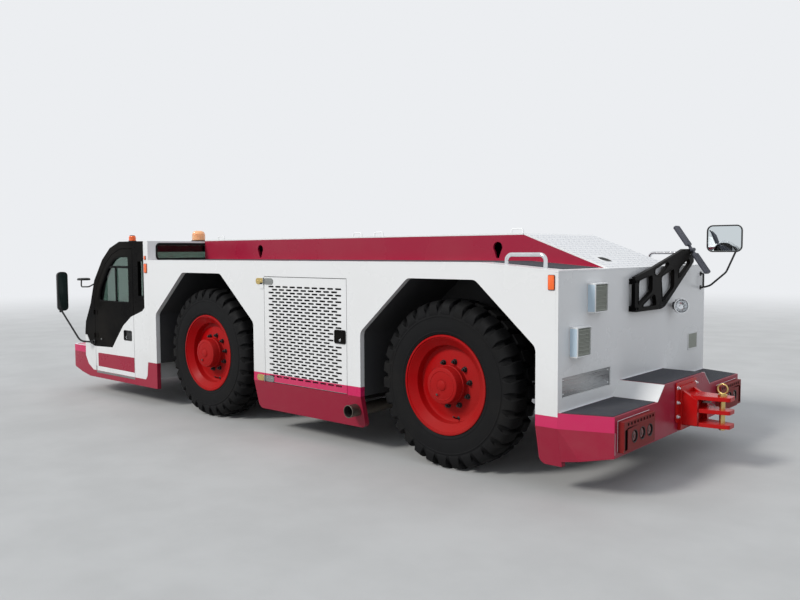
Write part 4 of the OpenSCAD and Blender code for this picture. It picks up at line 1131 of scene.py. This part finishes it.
def rear_mirror():
    """The rounded mirror on its bent stay, with a pane that curves a little outwards."""
    x0, z0, x1, z1 = REAR_MIRROR
    line = round_rect(x0, z0, x1, z1, 0.05, 8)
    shell = Shape()
    y = REAR_MIRROR_Y
    rows = ((0.0265, 0.030), (0.022, 0.010), (0.012, 0.0015), (0.004, 0.0), (0.0, 0.001))
    shell.layers(line, "Y", *[(y - behind, depth) for behind, depth in rows])
    shell.band(inset(line, 0.001), inset(line, 0.010), y - 0.002, y + 0.006)
    stay = [(WALL_X + x, y + side, z) for x, side, z in (
        (0, -0.029, 1.388), (-0.025, -0.029, 1.388), (-0.025, -0.029, 1.270), (-0.090, -0.014, 1.289),
        (-0.220, -0.014, 1.404), (-0.296, -0.014, 1.580))]
    shell.tube(rounded_line(stay, 0.02), 0.008, 14)
    shell.tube([stay[2], (WALL_X, *stay[2][1:])], 0.008, 14)
    for foot in (stay[0], stay[2]):
        shell.at(facing_back(WALL_X, *foot[1:])).drum(0.020, 0.0, 0.005, 24)
    shell.at().tube([(x0 + 0.056, y - 0.017, z0), (x0 + 0.056, y - 0.017, z0 + 0.028)], 0.013, 14)
    shell.make("rear_mirror_shell", "trim", "dark_trim", 0.0008)
    glass_line = inset(line, 0.009)
    middle_x, middle_z = (x0 + x1) / 2, (z0 + z1) / 2
    rows = [[(a, y - 0.003, b) for a, b in glass_line]]
    steps = 10
    for i in range(steps + 1):
        size = 1 - 0.995 * i / steps
        out = 0.010 * (1 - (1 - i / steps) ** 2)
        rows.append([
            (middle_x + (a - middle_x) * size, y + out, middle_z + (b - middle_z) * size)
            for a, b in glass_line
        ])
    Shape().loft(rows).make("mirror_pane_rear", "mirror", "glass")


WORK_LAMP = (-0.584, 1.149)


def work_lamp():
    """A round work lamp: ribbed housing on a swivel, chromed bowl, and a clear lens in its ring."""
    housing = Shape(facing_back(WALL_X, *WORK_LAMP))
    housing.stack(28, (0.026, 0.0), (0.026, 0.005), (0.018, 0.012), (0.018, 0.020))
    place = move(WALL_X - 0.02, *WORK_LAMP) @ turn("Z", -45) @ turn("Y", -90)
    housing.at(place)
    housing.drum(0.013, -0.005, 0.05, 24)
    housing.lathe([
        (0.0135, 0.036), (0.030, 0.038), (0.042, 0.046), (0.050, 0.060), (0.0555, 0.080), (0.0575, 0.090),
        (0.0605, 0.091), (0.0605, 0.104), (0.058, 0.107), (0.053, 0.107), (0.053, 0.095), (0.046, 0.075),
        (0.030, 0.055), (0.0135, 0.050),
    ])
    for i in range(12):
        housing.at(place @ turn("Z", 30 * i)).block((0.036, -0.0015, 0.044), (0.054, 0.0015, 0.074))
    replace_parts(housing.make("lamp_housing", "trim", "black_paint", 0.0004, 30), "work_lamp")
    bowl = Shape(place)
    bowl.lathe([
        (0.0535, 0.100), (0.048, 0.078), (0.034, 0.060), (0.014, 0.052), (0.014, 0.054), (0.033, 0.0615),
        (0.0465, 0.079), (0.052, 0.100),
    ])
    bowl.drum(0.0145, 0.050, 0.056, 24)
    bowl.lathe([(0.0535, 0.1035), (0.0605, 0.1035), (0.0610, 0.1050), (0.0605, 0.1078), (0.0535, 0.1078)])
    bowl.make("lamp_bowl", "chrome", "chrome")
    glass = Shape(place)
    glass.dome(0.008, 0.056, 0.082, 20, 5)
    glass.stack(40, (0.0532, 0.1015), (0.0532, 0.1035), (0.036, 0.1075), (0.012, 0.1090))
    glass.make("lamp_lens", "clear", "headlamp")


# Tail lamps, jaws and platform

TAIL_Y = (0.625, 1.085)
TAIL_Z = (0.325, 0.520)
TAIL_T = 0.042
LAMP_Y = (0.705, 0.82, 0.935)
LAMP_Z = sum(TAIL_Z) / 2 - 0.012
LAMP_BEZEL = [(0.0425, -0.002), (0.0425, 0.0135), (0.041, 0.0145), (0.037, 0.012), (0.037, -0.002)]


def tail_lamps():
    """The red lamp boxes: a case with notches along its top, an upright slot, three lamps and pale strips. A
    black sheet behind the case shows through the slot as its black insert, and through the notches as painted
    shade.
    """
    front = FACE_X - TAIL_T
    case, lenses, bezels, dark, strips = (Shape() for _ in range(5))
    outline = rect(TAIL_Y[0], TAIL_Z[0], TAIL_Y[1], TAIL_Z[1])
    slot = round_rect(TAIL_Y[1] - 0.052, LAMP_Z - 0.072, TAIL_Y[1] - 0.012, LAMP_Z + 0.058, 0.006, 3)
    rounds = [[(y + a, LAMP_Z + b) for a, b, _ in ring(0.043, 28)] for y in LAMP_Y]
    notches = [round_rect(y, TAIL_Z[1] - 0.030, y + 0.024, TAIL_Z[1] - 0.010, 0.004, 2)
               for y in (TAIL_Y[0] + 0.02 + 0.046 * i for i in range(9))]
    for side in SIDES:
        place = mirrored(side)
        case.at(place).plate(outline, [slot, *rounds, *notches], front, front + 0.004, "X")
        case.band(outline, inset(outline, 0.004), front + 0.004, FACE_X, "X")
        # Black sheet behind the case: the slot's black insert, and painted shade in the notches.
        dark.at(place).prism(inset(outline, 0.004), front + 0.018, front + 0.020, "X")
        for y in LAMP_Y:
            lamp = place @ facing_back(front + 0.012, y, LAMP_Z)
            bezels.at(lamp).lathe(LAMP_BEZEL, 40)
            lenses.at(lamp).dome(0.0372, 0.002, 0.010, 36, 6).drum(0.012, 0.0095, 0.0115, 20)
        for y0, z0, y1, z1 in (
            (TAIL_Y[0], TAIL_Z[1] + 0.004, TAIL_Y[1] + 0.008, TAIL_Z[1] + 0.0075),
            (TAIL_Y[1] + 0.0045, TAIL_Z[0] + 0.004, TAIL_Y[1] + 0.008, TAIL_Z[1] + 0.0045),
            (TAIL_Y[1] + 0.040, TAIL_Z[0] - 0.01, TAIL_Y[1] + 0.0425, TAIL_Z[0] + 0.13),
        ):
            strips.at(place).block((FACE_X - 0.0012, y0, z0), (FACE_X + 0.001, y1, z1))
        for y in (TAIL_Y[0] + 0.012, TAIL_Y[1] - 0.006):
            bezels.at(place @ facing_back(front, y, TAIL_Z[0] + 0.012)).dome(0.0045, 0.0, 0.002, 12, 3)
    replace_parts(case.make("tail_lamp_cases", "lamp_red", "red_paint", 0.0006), "tail_lamps")
    lenses.make("tail_lamp_lenses", "tail", "tail_lamp")
    bezels.make("tail_lamp_bezels", "trim", "black_paint")
    dark.make("tail_lamp_backs", "soot", "black_paint")
    strips.make("tail_lamp_strips", "pale_line", "white_paint")


BACKING = (-0.19, 0.360, 0.19, 0.648)
REAR_BOLTS = (0.165, (0.405, 0.505, 0.610))
FRONT_BOLTS = (0.105, (0.355, 0.445, 0.465))
PIN_X = FACE_X - 0.16
LATCH_Z = 0.508


def jaw_details():
    """The backing plate behind the rear jaw with its two webs, both jaws' bolts, and the pin's latch."""
    plate = soften(rect(*BACKING), 0.02)
    backing = Shape().prism(plate, FACE_X - 0.010, FACE_X - 0.0005, "X")
    web = [(FACE_X + x, z) for x, z in (
        (-0.13, 0.345), (-0.005, 0.345), (-0.005, 0.60), (-0.10, 0.545), (-0.13, 0.53))]
    for y in (-0.115, 0.085):
        backing.prism(web, y, y + 0.030)
    backing.make("jaw_backing_plate", "red_worn", "red_paint", 0.0015)
    bolts = Shape()
    for side in (-1, 1):
        for z in REAR_BOLTS[1]:
            bolts.at(facing_back(FACE_X - 0.010, side * REAR_BOLTS[0], z)).nut(0.0125, 0.012)
            bolts.stack(12, (0.0075, 0.010), (0.0075, 0.019), (0.006, 0.0205))
        for z in FRONT_BOLTS[1]:
            bolts.at(move(BUMPER_X + 0.025, side * FRONT_BOLTS[0], z) @ turn("Y", 90)).nut(0.011, 0.010)
    bolts.make("jaw_bolts", "chrome", "chrome", 0.0004)
    latch = Shape(move(PIN_X, 0.010, LATCH_Z))
    latch.block((-0.030, -0.004, -0.010), (0.030, 0.004, 0.010))
    hook = [(-0.026, 0.0, -0.003), (-0.055, 0.0, -0.018), (-0.055, 0.0, -0.033)]
    latch.tube(rounded_line(hook, 0.01), 0.004, 10)
    latch.at(move(PIN_X + 0.012, 0.014, LATCH_Z) @ turn("X", -90)).nut(0.007, 0.006)
    latch.at(move(PIN_X, 0.010, LATCH_Z + 0.010)).drum(0.006, 0.0, 0.0125, 16)
    latch.make("jaw_latch", "galvanised", "steel", 0.0005)


FOOT_STRIPS = ((0.492, 0.556, 1.235, 0.5605), (-0.355, 0.660, 0.355, 0.6645))


def platform_lines():
    """Narrow pale strips along the rear wall's foot, beside the mats."""
    low, middle = FOOT_STRIPS
    shape = Shape()
    for place, strip in ((mirrored("left"), low), (mirrored("right"), low), (None, middle)):
        shape.at(place).prism(rect(*strip), WALL_X - 0.010, WALL_X - 0.0005, "X")
    shape.make("wall_foot_strips", "pale_line", "white_paint", 0.0008)


# Front end

CAB_LOW_Z = 0.27
BUMPER_Z = 0.53
BUMPER_LOW_Z = 0.19
HEADLAMPS = (-0.80, -0.64, 0.64, 0.80)
HEADLAMP_Z = 0.415


def bumper_plan():
    """The bumper's left front corner seen from above, from its side round to its face."""
    return [(BUMPER_X - back, HALF_W - inward) for back, inward in (
        (0.12, 0.0), (0.085, 0.006), (0.055, 0.025), (0.03, 0.06), (0.012, 0.11), (0.0, 0.18))]


def both_sides(line):
    """A line of points on the left, and back along its mirror image on the right."""
    return [*line, *[(x, -y) for x, y in line[::-1]]]


def front_bumper():
    """The bumper and its skirts in one: the side outline, cut to the rounded plan, open to the cab behind."""
    b, n, start = BUMPER_X, NOSE_X, ARCH["front"][1]
    side_line = [
        (start, FOLD_Z), (CAB_X, FOLD_Z), (CAB_X + 0.04, FOLD_Z), (CAB_X + 0.06, CAB_LOW_Z + 0.04),
        (CAB_X + 0.09, CAB_LOW_Z), (n - 0.17, CAB_LOW_Z), (n - 0.06, CAB_LOW_Z + 0.06), (n, BUMPER_Z - 0.11),
        (n, BUMPER_Z), (b - 0.02, BUMPER_Z), (b, BUMPER_Z - 0.02), (b, 0.30), (n + 0.09, 0.224),
        (n - 0.09, BUMPER_LOW_Z), (start, BUMPER_LOW_Z),
    ]
    body = Shape().prism(side_line, -HALF_W, HALF_W)
    around = Shape().prism(both_sides([(start, HALF_W), *bumper_plan()]), 0.0, 1.0, "Z")
    inside = Shape().block((start - 0.01, SIDE_T - HALF_W, 0.0), (n, HALF_W - SIDE_T, 1.0))
    bores = Shape()
    for y in HEADLAMPS:
        bores.at(lamp_place(y)).drum(0.0623, 0.0, 0.1, 40)
    shell = carved(body, ("INTERSECT", around), ("DIFFERENCE", inside), ("DIFFERENCE", bores))
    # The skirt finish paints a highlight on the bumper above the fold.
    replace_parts(shell.make("bumper_shell", "skirt", "maroon_paint", 0.004, 20), "front_bumper")
    top = [(n + 0.004, HALF_W - 0.002), *[(x - 0.002, y - 0.002) for x, y in bumper_plan()]]
    inner = [(n + 0.004, HALF_W - 0.022), *[(x - 0.022, y - 0.020) for x, y in top[1:]]]
    edge = Shape().plate(both_sides(top) + both_sides(inner)[::-1], [], BUMPER_Z, BUMPER_Z + 0.002, "Z")
    edge.make("bumper_top_edge", "pale_line", "white_paint")


def lamp_place(y):
    """Places a headlamp, its local Z forward."""
    return move(BUMPER_X - 0.03, y, HEADLAMP_Z) @ turn("Y", 90)


def headlamps():
    """A dark ring, a chromed bowl with its bulb and a clear lens for each headlamp."""
    cases = Shape()
    bowls = Shape()
    lenses = Shape()
    ring_line = [(0.062, 0.0), (0.062, 0.028), (0.056, 0.0295), (0.054, 0.024), (0.058, 0.004), (0.058, 0.0)]
    bowl_line = [(0.0575, 0.022), (0.050, 0.012), (0.030, 0.004), (0.010, 0.0015), (0.010, 0.0), (0.058, 0.0)]
    for y in HEADLAMPS:
        place = lamp_place(y)
        cases.at(place).lathe(ring_line)
        bowls.at(place).lathe(bowl_line).drum(0.0105, 0.0, 0.004, 24).dome(0.007, 0.004, 0.016, 16, 4)
        lenses.at(place).stack(48, (0.0545, 0.020), (0.0545, 0.024), (0.042, 0.0275), (0.015, 0.0295))
    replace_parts(cases.make("headlamp_rings", "trim", "headlamp"), "headlamps")
    bowls.make("headlamp_bowls", "chrome", "chrome")
    lenses.make("headlamp_lenses", "clear", "headlamp")


MARKERS = (
    (AXLE_X["rear"] - 0.93, 1.390, 0.045, 0.093), (AXLE_X["front"] + 0.933, 1.430, 0.045, 0.093),
    (AXLE_X["front"] + 0.940, 1.538, 0.026, 0.036),
)
BEACONS = ((CAB_X + 0.477, 0.30, 0.085, 0.13, "pale_amber"), (CAB_X + 0.545, 1.10, 0.042, 0.07, "amber"))
BEACON_DOME = (
    (0.87, 0.155), (0.88, 0.20), (0.86, 0.45), (0.84, 0.70), (0.78, 0.83), (0.64, 0.93), (0.42, 0.985),
    (0.12, 1.0),
)
BEACON_FOOT = ((1.0, 0.10), (0.9, 0.16), (0.3, 0.16))
BEACON_LID = ((0.70, 0.80), (0.70, 0.93), (0.50, 0.985), (0.2, 1.0))
BEACON_RIB = ((0.86, 0.24), (0.885, 0.26), (0.885, 0.29), (0.86, 0.31))


def scaled(rows, radius, height):
    """Points given in shares of a radius and a height, in metres."""
    return [(k * radius, t * height) for k, t in rows]


def side_markers(lenses, bezels):
    """Low rounded lenses on the body's sides in dark bezels."""
    for side in SIDES:
        for x, z, length, height in MARKERS:
            line = round_rect(x - length / 2, z - height / 2, x + length / 2, z + height / 2, 0.006, 4)
            bezels.at(mirrored(side)).band(inset(line, -0.003), line, HALF_W - 0.001, HALF_W + 0.004)
            rows = ((-0.001, 0.0), (0.009, 0.0005), (0.0115, 0.003), (0.012, 0.006))
            lenses.at(mirrored(side)).layers(line, "Y", *[(HALF_W + out, depth) for out, depth in rows])


def amber_lamps():
    """Side markers in dark bezels, and the two ribbed beacons on the roof with their black feet."""
    lenses = Shape()
    bezels = Shape()
    side_markers(lenses, bezels)
    for x, y, r, h, finish in BEACONS:
        place = move(x, y, ROOF_Z)
        bezels.at(place).lathe([(0.3 * r, -0.002), (r, -0.002), *scaled(BEACON_FOOT, r, h)])
        dome = Shape(place).stack(48, *scaled(BEACON_DOME, r, h))
        for i in range(5):
            dome.lathe(scaled([(k, t + 0.1 * i) for k, t in BEACON_RIB], r, h))
        if finish == "amber":
            bezels.stack(32, *scaled(BEACON_LID, r, h))
        made = dome.make(f"beacon_dome_{finish}", finish, "amber")
        if finish == "amber":
            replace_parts(made, "amber_lamps")
    lenses.make("marker_lenses", "amber", "amber", 0.0005)
    bezels.make("marker_bezels", "trim", "dark_trim", 0.0004)


# Cab

REAR_WINDOW = (-1.145, 1.522, 1.145, 1.68)


def cab_rear():
    """The cab's rear wall with its long round-cornered window, the pane, and the window's rubber seal."""
    line = round_rect(*REAR_WINDOW, 0.035)
    filler = Shape().block((CAB_X, -1.205, 1.45), (CAB_X + 0.04, 1.205, ROOF_Z - 0.001))
    opening = Shape().prism(line, CAB_X - 0.01, CAB_X + 0.05, "X")
    wall = carved(like("cab_rear_wall"), ("UNION", filler), ("DIFFERENCE", opening))
    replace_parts(wall.make("cab_back", "white", "white_paint", angle=20), "cab_rear_wall")
    seal = Shape()
    seal.band(inset(line, -0.012), inset(line, 0.010), CAB_X - 0.004, CAB_X, "X")
    seal.band(line, inset(line, 0.012), CAB_X, CAB_X + 0.022, "X")
    seal.make("rear_window_seal", "seal", "dark_trim", 0.0015)
    glass = like("cab_glass")
    old_pane = [face for face in glass.mesh.faces if face.calc_center_median().x < CAB_X + 0.05]
    bmesh.ops.delete(glass.mesh, geom=old_pane, context="FACES")
    glass.prism(line, CAB_X + 0.015, CAB_X + 0.021, "X")
    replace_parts(glass.make("cab_panes", "glass", "glass", angle=20), "cab_glass")


DOOR_X = (CAB_X + 0.30, NOSE_X - 0.237)
DOOR_BARS = (DOOR_X[0] + 0.365, 1.437)
DOOR_PANEL = [
    (DOOR_X[0] + 0.008, 0.318), (DOOR_X[1] - 0.053, 0.322), (DOOR_X[1] - 0.053, 0.472),
    (DOOR_X[0] + 0.008, 0.478),
]
DOOR_SCREW = (DOOR_X[1] - 0.133, 0.631)
# Painted shade: a grey strip where the shadow gap under the door falls.
SILL_SHADE_STRIP = (DOOR_X[0], 0.245, DOOR_X[1] - 0.013, 0.2675)
HANDLE = (DOOR_X[0] + 0.045, 0.652, DOOR_X[0] + 0.210, 0.762)
CUP_Y = HALF_W - 0.018


def door_window(side):
    """Outline of a door's window, from its pane."""
    line = outlines_of(f"door_glass_{side}", lambda centre, normal: normal.y * SIDES[side] > 0.9)[0]
    return [(p.x, p.z) for p in line]


def door_handle(side, body):
    """The door's skin with the handle's cup sunk in it, the paddle in the cup, and the chromed lever."""
    place = mirrored(side)
    x0, z0, x1, z1 = HANDLE
    cup = round_rect(*HANDLE, 0.018)
    skin = carved(like(f"cab_door_{side}"), ("DIFFERENCE", Shape(place).prism(cup, CUP_Y, HALF_W + 0.01)))
    made = skin.make(f"door_skin_{side}", "white", "white_paint", angle=20, body=body)
    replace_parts(made, f"cab_door_{side}")
    liner = Shape(place)
    liner.band(cup, inset(cup, 0.008), CUP_Y, HALF_W + 0.003)
    liner.prism(cup, CUP_Y, CUP_Y + 0.003)
    paddle = round_rect(x0 + 0.020, z0 + 0.045, x1 - 0.055, z1 - 0.022, 0.008)
    liner.prism(paddle, CUP_Y + 0.006, CUP_Y + 0.014)
    liner.make(f"door_cup_{side}", "trim", "dark_trim", 0.0008, body=body)
    lever = Shape(place)
    lever.tube(rounded_line([
        (x1 - 0.030, CUP_Y + 0.004, z0 + 0.022), (x1 - 0.030, CUP_Y + 0.012, z0 + 0.030),
        (x1 - 0.052, CUP_Y + 0.012, z0 + 0.052)], 0.008), 0.004, 10)
    lever.at(on_side(side, x1 - 0.03, CUP_Y + 0.003, z0 + 0.02))
    lever.stack(24, (0.010, 0.0), (0.010, 0.003), (0.008, 0.004))
    lever.make(f"door_lever_{side}", "chrome", "chrome", 0.0003, body=body)


def cab_door(side):
    """The door's skin and handle, its window's bars and seal, the bare panel low on it and a screw."""
    body = f"door_{side}"
    place = mirrored(side)
    door_handle(side, body)
    line = door_window(side)
    upright, level = DOOR_BARS
    bars = Shape(place)
    bars.block((upright - 0.012, HALF_W - 0.020, 0.9), (upright + 0.012, HALF_W - 0.008, level))
    bars.block((DOOR_X[0], HALF_W - 0.020, level - 0.012), (DOOR_X[1], HALF_W - 0.008, level + 0.012))
    bars = carved(bars, ("INTERSECT", Shape(place).prism(line, HALF_W - 0.03, HALF_W)))
    bars.at(place).band(line, inset(line, 0.010), HALF_W - 0.020, HALF_W - 0.004)
    bars.make(f"door_window_bars_{side}", "seal", "dark_trim", 0.0008, body=body)
    panel = Shape(place).prism(DOOR_PANEL, HALF_W - 0.001, HALF_W + 0.0016)
    panel.make(f"door_panel_{side}", "maroon", "maroon_paint", 0.0008, body=body)
    screw = Shape(on_side(side, DOOR_SCREW[0], HALF_W, DOOR_SCREW[1])).nut(0.008, 0.006)
    screw.make(f"door_screw_{side}", "galvanised", "steel", body=body)


def sill_shade_strips():
    """A narrow grey strip along the foot of each side of the cab, painted shade for the shadow gap under the
    door.
    """
    shape = Shape()
    for side in SIDES:
        shape.at(mirrored(side)).prism(rect(*SILL_SHADE_STRIP), HALF_W - 0.001, HALF_W + 0.002)
    shape.make("cab_sill_shade_strips", "galvanised", "steel", 0.0015)


def front_mirrors():
    """Rounded mirror heads on bent arms, each with its pane, and the small kerb mirror over the left door."""
    shells = Shape()
    panes = Shape()
    n, w = NOSE_X, HALF_W
    line = round_rect(w + 0.160, 0.940, w + 0.280, 1.380, 0.045, 8)
    route = rounded_line([
        (n - 0.21, w + 0.005, 0.590), (n - 0.21, w + 0.03, 0.590), (n - 0.12, w + 0.12, 0.600),
        (n + 0.06, w + 0.245, 0.955), (n + 0.062, w + 0.248, 1.02)], 0.05)
    for side in SIDES:
        place = mirrored(side)
        shells.at(on_side(side, n - 0.21, w, 0.59))
        shells.stack(28, (0.024, 0.0), (0.024, 0.006), (0.018, 0.012), (0.018, 0.030))
        shells.at(place).tube(route, 0.010, 14)
        rows = ((0.100, 0.035), (0.096, 0.014), (0.086, 0.003), (0.070, 0.0), (0.056, 0.001))
        shells.layers(line, "X", *[(n + x, depth) for x, depth in rows])
        shells.band(inset(line, 0.001), inset(line, 0.010), n + 0.050, n + 0.058, "X")
        shells.at(place @ move(n + 0.062, w + 0.246, 0.925))
        shells.stack(20, (0.013, 0.0), (0.016, 0.006), (0.016, 0.03))
        panes.at(place).layers(line, "X", (n + 0.057, 0.010), (n + 0.053, 0.010), (n + 0.0525, 0.012))
    arm = [(n - 0.13, w - 0.06, 1.24), (n - 0.06, w - 0.03, 1.205), (n + 0.12, w - 0.03, 1.200),
           (n + 0.11, w - 0.03, 1.285)]
    dish = round_rect(n + 0.005, w - 0.105, n + 0.125, w + 0.035, 0.05)
    shells.at().tube(rounded_line(arm, 0.03), 0.008)
    shells.layers(dish, "Z", (1.304, 0.022), (1.300, 0.006), (1.290, 0.0), (1.278, 0.001))
    panes.at().layers(dish, "Z", (1.2785, 0.006), (1.2765, 0.007))
    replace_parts(shells.make("front_mirror_shells", "trim", "dark_trim", 0.0006), "front_mirrors")
    # The panes' dark greenish colour is painted reflection.
    panes.make("front_mirror_panes", "painted_reflection_pane", "glass")


# Seats

SEAT_X = CAB_X + 0.15
SEAT_Y = 0.62
CUSHION = (SEAT_X + 0.26, 0.695)
BACK = (SEAT_X + 0.065, 0.985)
BACK_LEAN = math.degrees(math.atan2(0.10, 0.69))
PAD_EDGE = ((0.0, 0.030), (0.06, 0.014), (0.2, 0.003), (0.5, 0.0), (0.8, 0.003), (0.94, 0.014), (1.0, 0.030))
PAD_VOXEL = 0.012
PAD_PRESSURE = 4.0
PAD_REACH = 0.009
CLOTH_STEPS = 14


def puffed(shape):
    """The pad after a short cloth simulation that blows it up a little, no point moving beyond its reach."""
    pad = blank(shape)
    remesh = pad.modifiers.new("even", "REMESH")
    remesh.mode = "VOXEL"
    remesh.voxel_size = PAD_VOXEL
    data = bpy.data.meshes.new_from_object(pad.evaluated_get(bpy.context.evaluated_depsgraph_get()))
    pad.modifiers.clear()
    pad.data = data
    start = [vert.co.copy() for vert in data.vertices]
    moved = start
    cloth = pad.modifiers.new("cloth", "CLOTH")
    cloth.settings.use_pressure = True
    cloth.settings.uniform_pressure_force = PAD_PRESSURE
    cloth.settings.mass = 0.3
    cloth.settings.tension_stiffness = 15.0
    cloth.settings.bending_stiffness = 2.0
    cloth.settings.effector_weights.gravity = 0.0
    for step in range(CLOTH_STEPS):
        bpy.context.scene.frame_set(step + 1)
    mesh = pad.evaluated_get(bpy.context.evaluated_depsgraph_get()).data
    moved = [vert.co.copy() for vert in mesh.vertices]
    bpy.context.scene.frame_set(1)
    pad.modifiers.clear()
    for vert, old, new in zip(data.vertices, start, moved):
        step = new - old
        vert.co = old + (step * min(1.0, PAD_REACH / step.length) if step.length > 1e-9 else step)
    result = Shape()
    result.mesh.from_mesh(data)
    bpy.data.objects.remove(pad)
    return result


def seam(shape, place, axis, at, half=0.010, depth=0.008):
    """Presses a channel into the pad's upper side, at a place along an axis (0 or 1) of its own space."""
    inverse = place.inverted()
    for vert in shape.mesh.verts:
        local = inverse @ vert.co
        value = abs(local[axis] - at)
        if local.z > 0 and value < 3 * half:
            local.z -= depth * math.exp(-(value / half) ** 2)
            vert.co = place @ local


def seat_pad(name, place, outline, half_thick, seams):
    """A puffed pad over an outline, with its edges drawn in and its seams pressed."""
    rows = [(half_thick * (2 * share - 1), depth) for share, depth in PAD_EDGE]
    pad = puffed(Shape(place).layers(outline, "Z", *rows))
    for axis, at in seams:
        seam(pad, place, axis, at)
    pad.make(name, "fabric", "seat_fabric", angle=60)


def seat_base(side, y):
    """The seat's foot and bellows with the plate under the cushion, and the back's bracket."""
    base = Shape(move(CUSHION[0], y, 0.0))
    levels = ((0.308, 1.0), (0.345, 1.0), (0.350, 0.82), (0.600, 0.82), (0.606, 1.1), (0.650, 1.16))
    section = round_rect(-0.18, -0.18, 0.18, 0.18, 0.03)
    base.loft([[(a * k, b * k, z) for a, b in section] for z, k in levels])
    for k in range(5):
        base.block((-0.150, -0.150, 0.38 + 0.040 * k), (0.150, 0.150, 0.40 + 0.040 * k))
    base.at(move(SEAT_X + 0.03, y, 0.0)).block((-0.015, -0.20, 0.62), (0.030, 0.20, 0.72))
    made = base.make(f"seat_base_{side}", "grained", "dark_trim", 0.003)
    if side == "left":
        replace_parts(made, "seats")


def seats():
    """Two seats: puffed cushions and backs with pressed seams, piping round their edges, and their bases."""
    cushion = round_rect(-0.245, -0.235, 0.245, 0.235, 0.07)
    back = round_rect(-0.33, -0.225, 0.33, 0.225, 0.08)
    for side, sign in SIDES.items():
        y = sign * SEAT_Y
        cushion_at = move(CUSHION[0], y, CUSHION[1])
        back_at = move(BACK[0], y, BACK[1]) @ turn("Y", 90 - BACK_LEAN)
        seat_pad(f"seat_cushion_{side}", cushion_at, cushion, 0.045, ((1, -0.13), (1, 0.13), (0, 0.0)))
        seat_pad(f"seat_back_{side}", back_at, back, 0.040, ((1, -0.12), (1, 0.12), (0, -0.15)))
        piping = Shape()
        for place, outline, height in ((cushion_at, cushion, 0.030), (back_at, back, 0.026)):
            line = [(a, b, height) for a, b in inset(outline, -0.002)]
            piping.at(place).tube([*line, (*outline[0], height)], 0.003, 8)
        piping.make(f"seat_piping_{side}", "seal", "seat_fabric")
        seat_base(side, y)


# Stage, lights and camera

BACKGROUND = srgb(236, 238, 241)
FLOOR_R = 60.0
FLOOR_FADE = (9.0, 26.0)
SKY = srgb(240, 246, 255)
SKY_LIGHT = 0.74
SUN_LIGHT = 1.95
SUN_WIDTH = 14
SUN_FROM = Vector((0.22, 0.80, 0.62))


def stage():
    """A pale floor that fades into the background far away."""
    g = Graph("floor")
    reach = g.node("VectorMath", {"operation": "LENGTH"}, {0: g.place}).outputs["Value"]
    pale = g.mix(g.fade(g.noise(1.5, 5.0), 0.3, 0.7), srgb(184, 184, 182), srgb(192, 192, 190))
    g.set(Base_Color=g.mix(g.shown(), srgb(120, 120, 118), pale))
    g.set(Roughness=0.8, Normal=g.bump(g.noise(90.0, 3.0), 0.0006))
    far = g.node("Emission", inputs={"Color": BACKGROUND, "Strength": 1.0})
    away = g.fade(reach, *FLOOR_FADE)
    joined = g.node("MixShader", inputs={0: away, 1: g.shader.outputs[0], 2: far.outputs[0]})
    g.feed(g.tree.nodes["Material Output"].inputs["Surface"], joined.outputs[0])
    mesh = bmesh.new()
    bmesh.ops.create_circle(mesh, cap_ends=True, segments=96, radius=FLOOR_R)
    floor = linked("floor", mesh)
    floor.data.materials.append(g.material)


def lights():
    """Soft light from all round with one broad sun, and a pale background that gloss and glass show too."""
    world = bpy.data.worlds.new("studio")
    bpy.context.scene.world = world
    world.use_nodes = True
    g = Nodes(world.node_tree)
    soft = g.tree.nodes["Background"]
    g.feed(soft.inputs["Color"], SKY)
    g.feed(soft.inputs["Strength"], SKY_LIGHT)
    seen = g.node("Background", inputs={"Color": BACKGROUND})
    joined = g.node("MixShader", inputs={0: g.shown(), 1: soft.outputs[0], 2: seen.outputs[0]})
    g.feed(g.tree.nodes["World Output"].inputs["Surface"], joined.outputs[0])
    data = bpy.data.lights.new("key", "SUN")
    data.energy = SUN_LIGHT
    data.angle = math.radians(SUN_WIDTH)
    data.color = (1.0, 0.985, 0.955)
    lamp = bpy.data.objects.new("key", data)
    lamp.rotation_euler = SUN_FROM.to_track_quat("Z", "Y").to_euler()
    bpy.context.scene.collection.objects.link(lamp)


CAMERA_PLACE = (-5.576, 5.657, 1.595)
CAMERA_YAW = -0.852
CAMERA_PITCH = -0.062
CAMERA_ROLL = -0.005
FOCAL_PIXELS = 789.6
PICTURE_WIDTH = 800


def camera():
    data = bpy.data.cameras.new("view")
    data.sensor_width = 36.0
    data.lens = FOCAL_PIXELS * data.sensor_width / PICTURE_WIDTH
    made = bpy.data.objects.new("view", data)
    bpy.context.scene.collection.objects.link(made)
    forward = Vector((
        math.cos(CAMERA_YAW) * math.cos(CAMERA_PITCH), math.sin(CAMERA_YAW) * math.cos(CAMERA_PITCH),
        math.sin(CAMERA_PITCH)
    ))
    level = Vector((math.sin(CAMERA_YAW), -math.cos(CAMERA_YAW), 0.0))
    upright = level.cross(forward)
    right = level * math.cos(CAMERA_ROLL) + upright * math.sin(CAMERA_ROLL)
    up = upright * math.cos(CAMERA_ROLL) - level * math.sin(CAMERA_ROLL)
    made.matrix_world = Matrix.Translation(CAMERA_PLACE) @ Matrix((right, up, -forward)).transposed().to_4x4()
    bpy.context.scene.camera = made


camera()
stage()
lights()
finish_nodes()
for end_name in AXLE_X:
    for side_name in SIDES:
        tyre(end_name, side_name)
        rim(end_name, side_name)
        wheel_details(end_name, side_name)
for side_name in SIDES:
    grille_door(side_name)
skirts()
exhaust_end()
louvres()
recess_sheet()
slope_details()
lattice_arm()
ridged_heads()
rear_mirror()
work_lamp()
tail_lamps()
jaw_details()
platform_lines()
front_bumper()
headlamps()
amber_lamps()
cab_rear()
for side_name in SIDES:
    cab_door(side_name)
sill_shade_strips()
front_mirrors()
seats()
bpy.context.scene.view_settings.view_transform = "Standard"
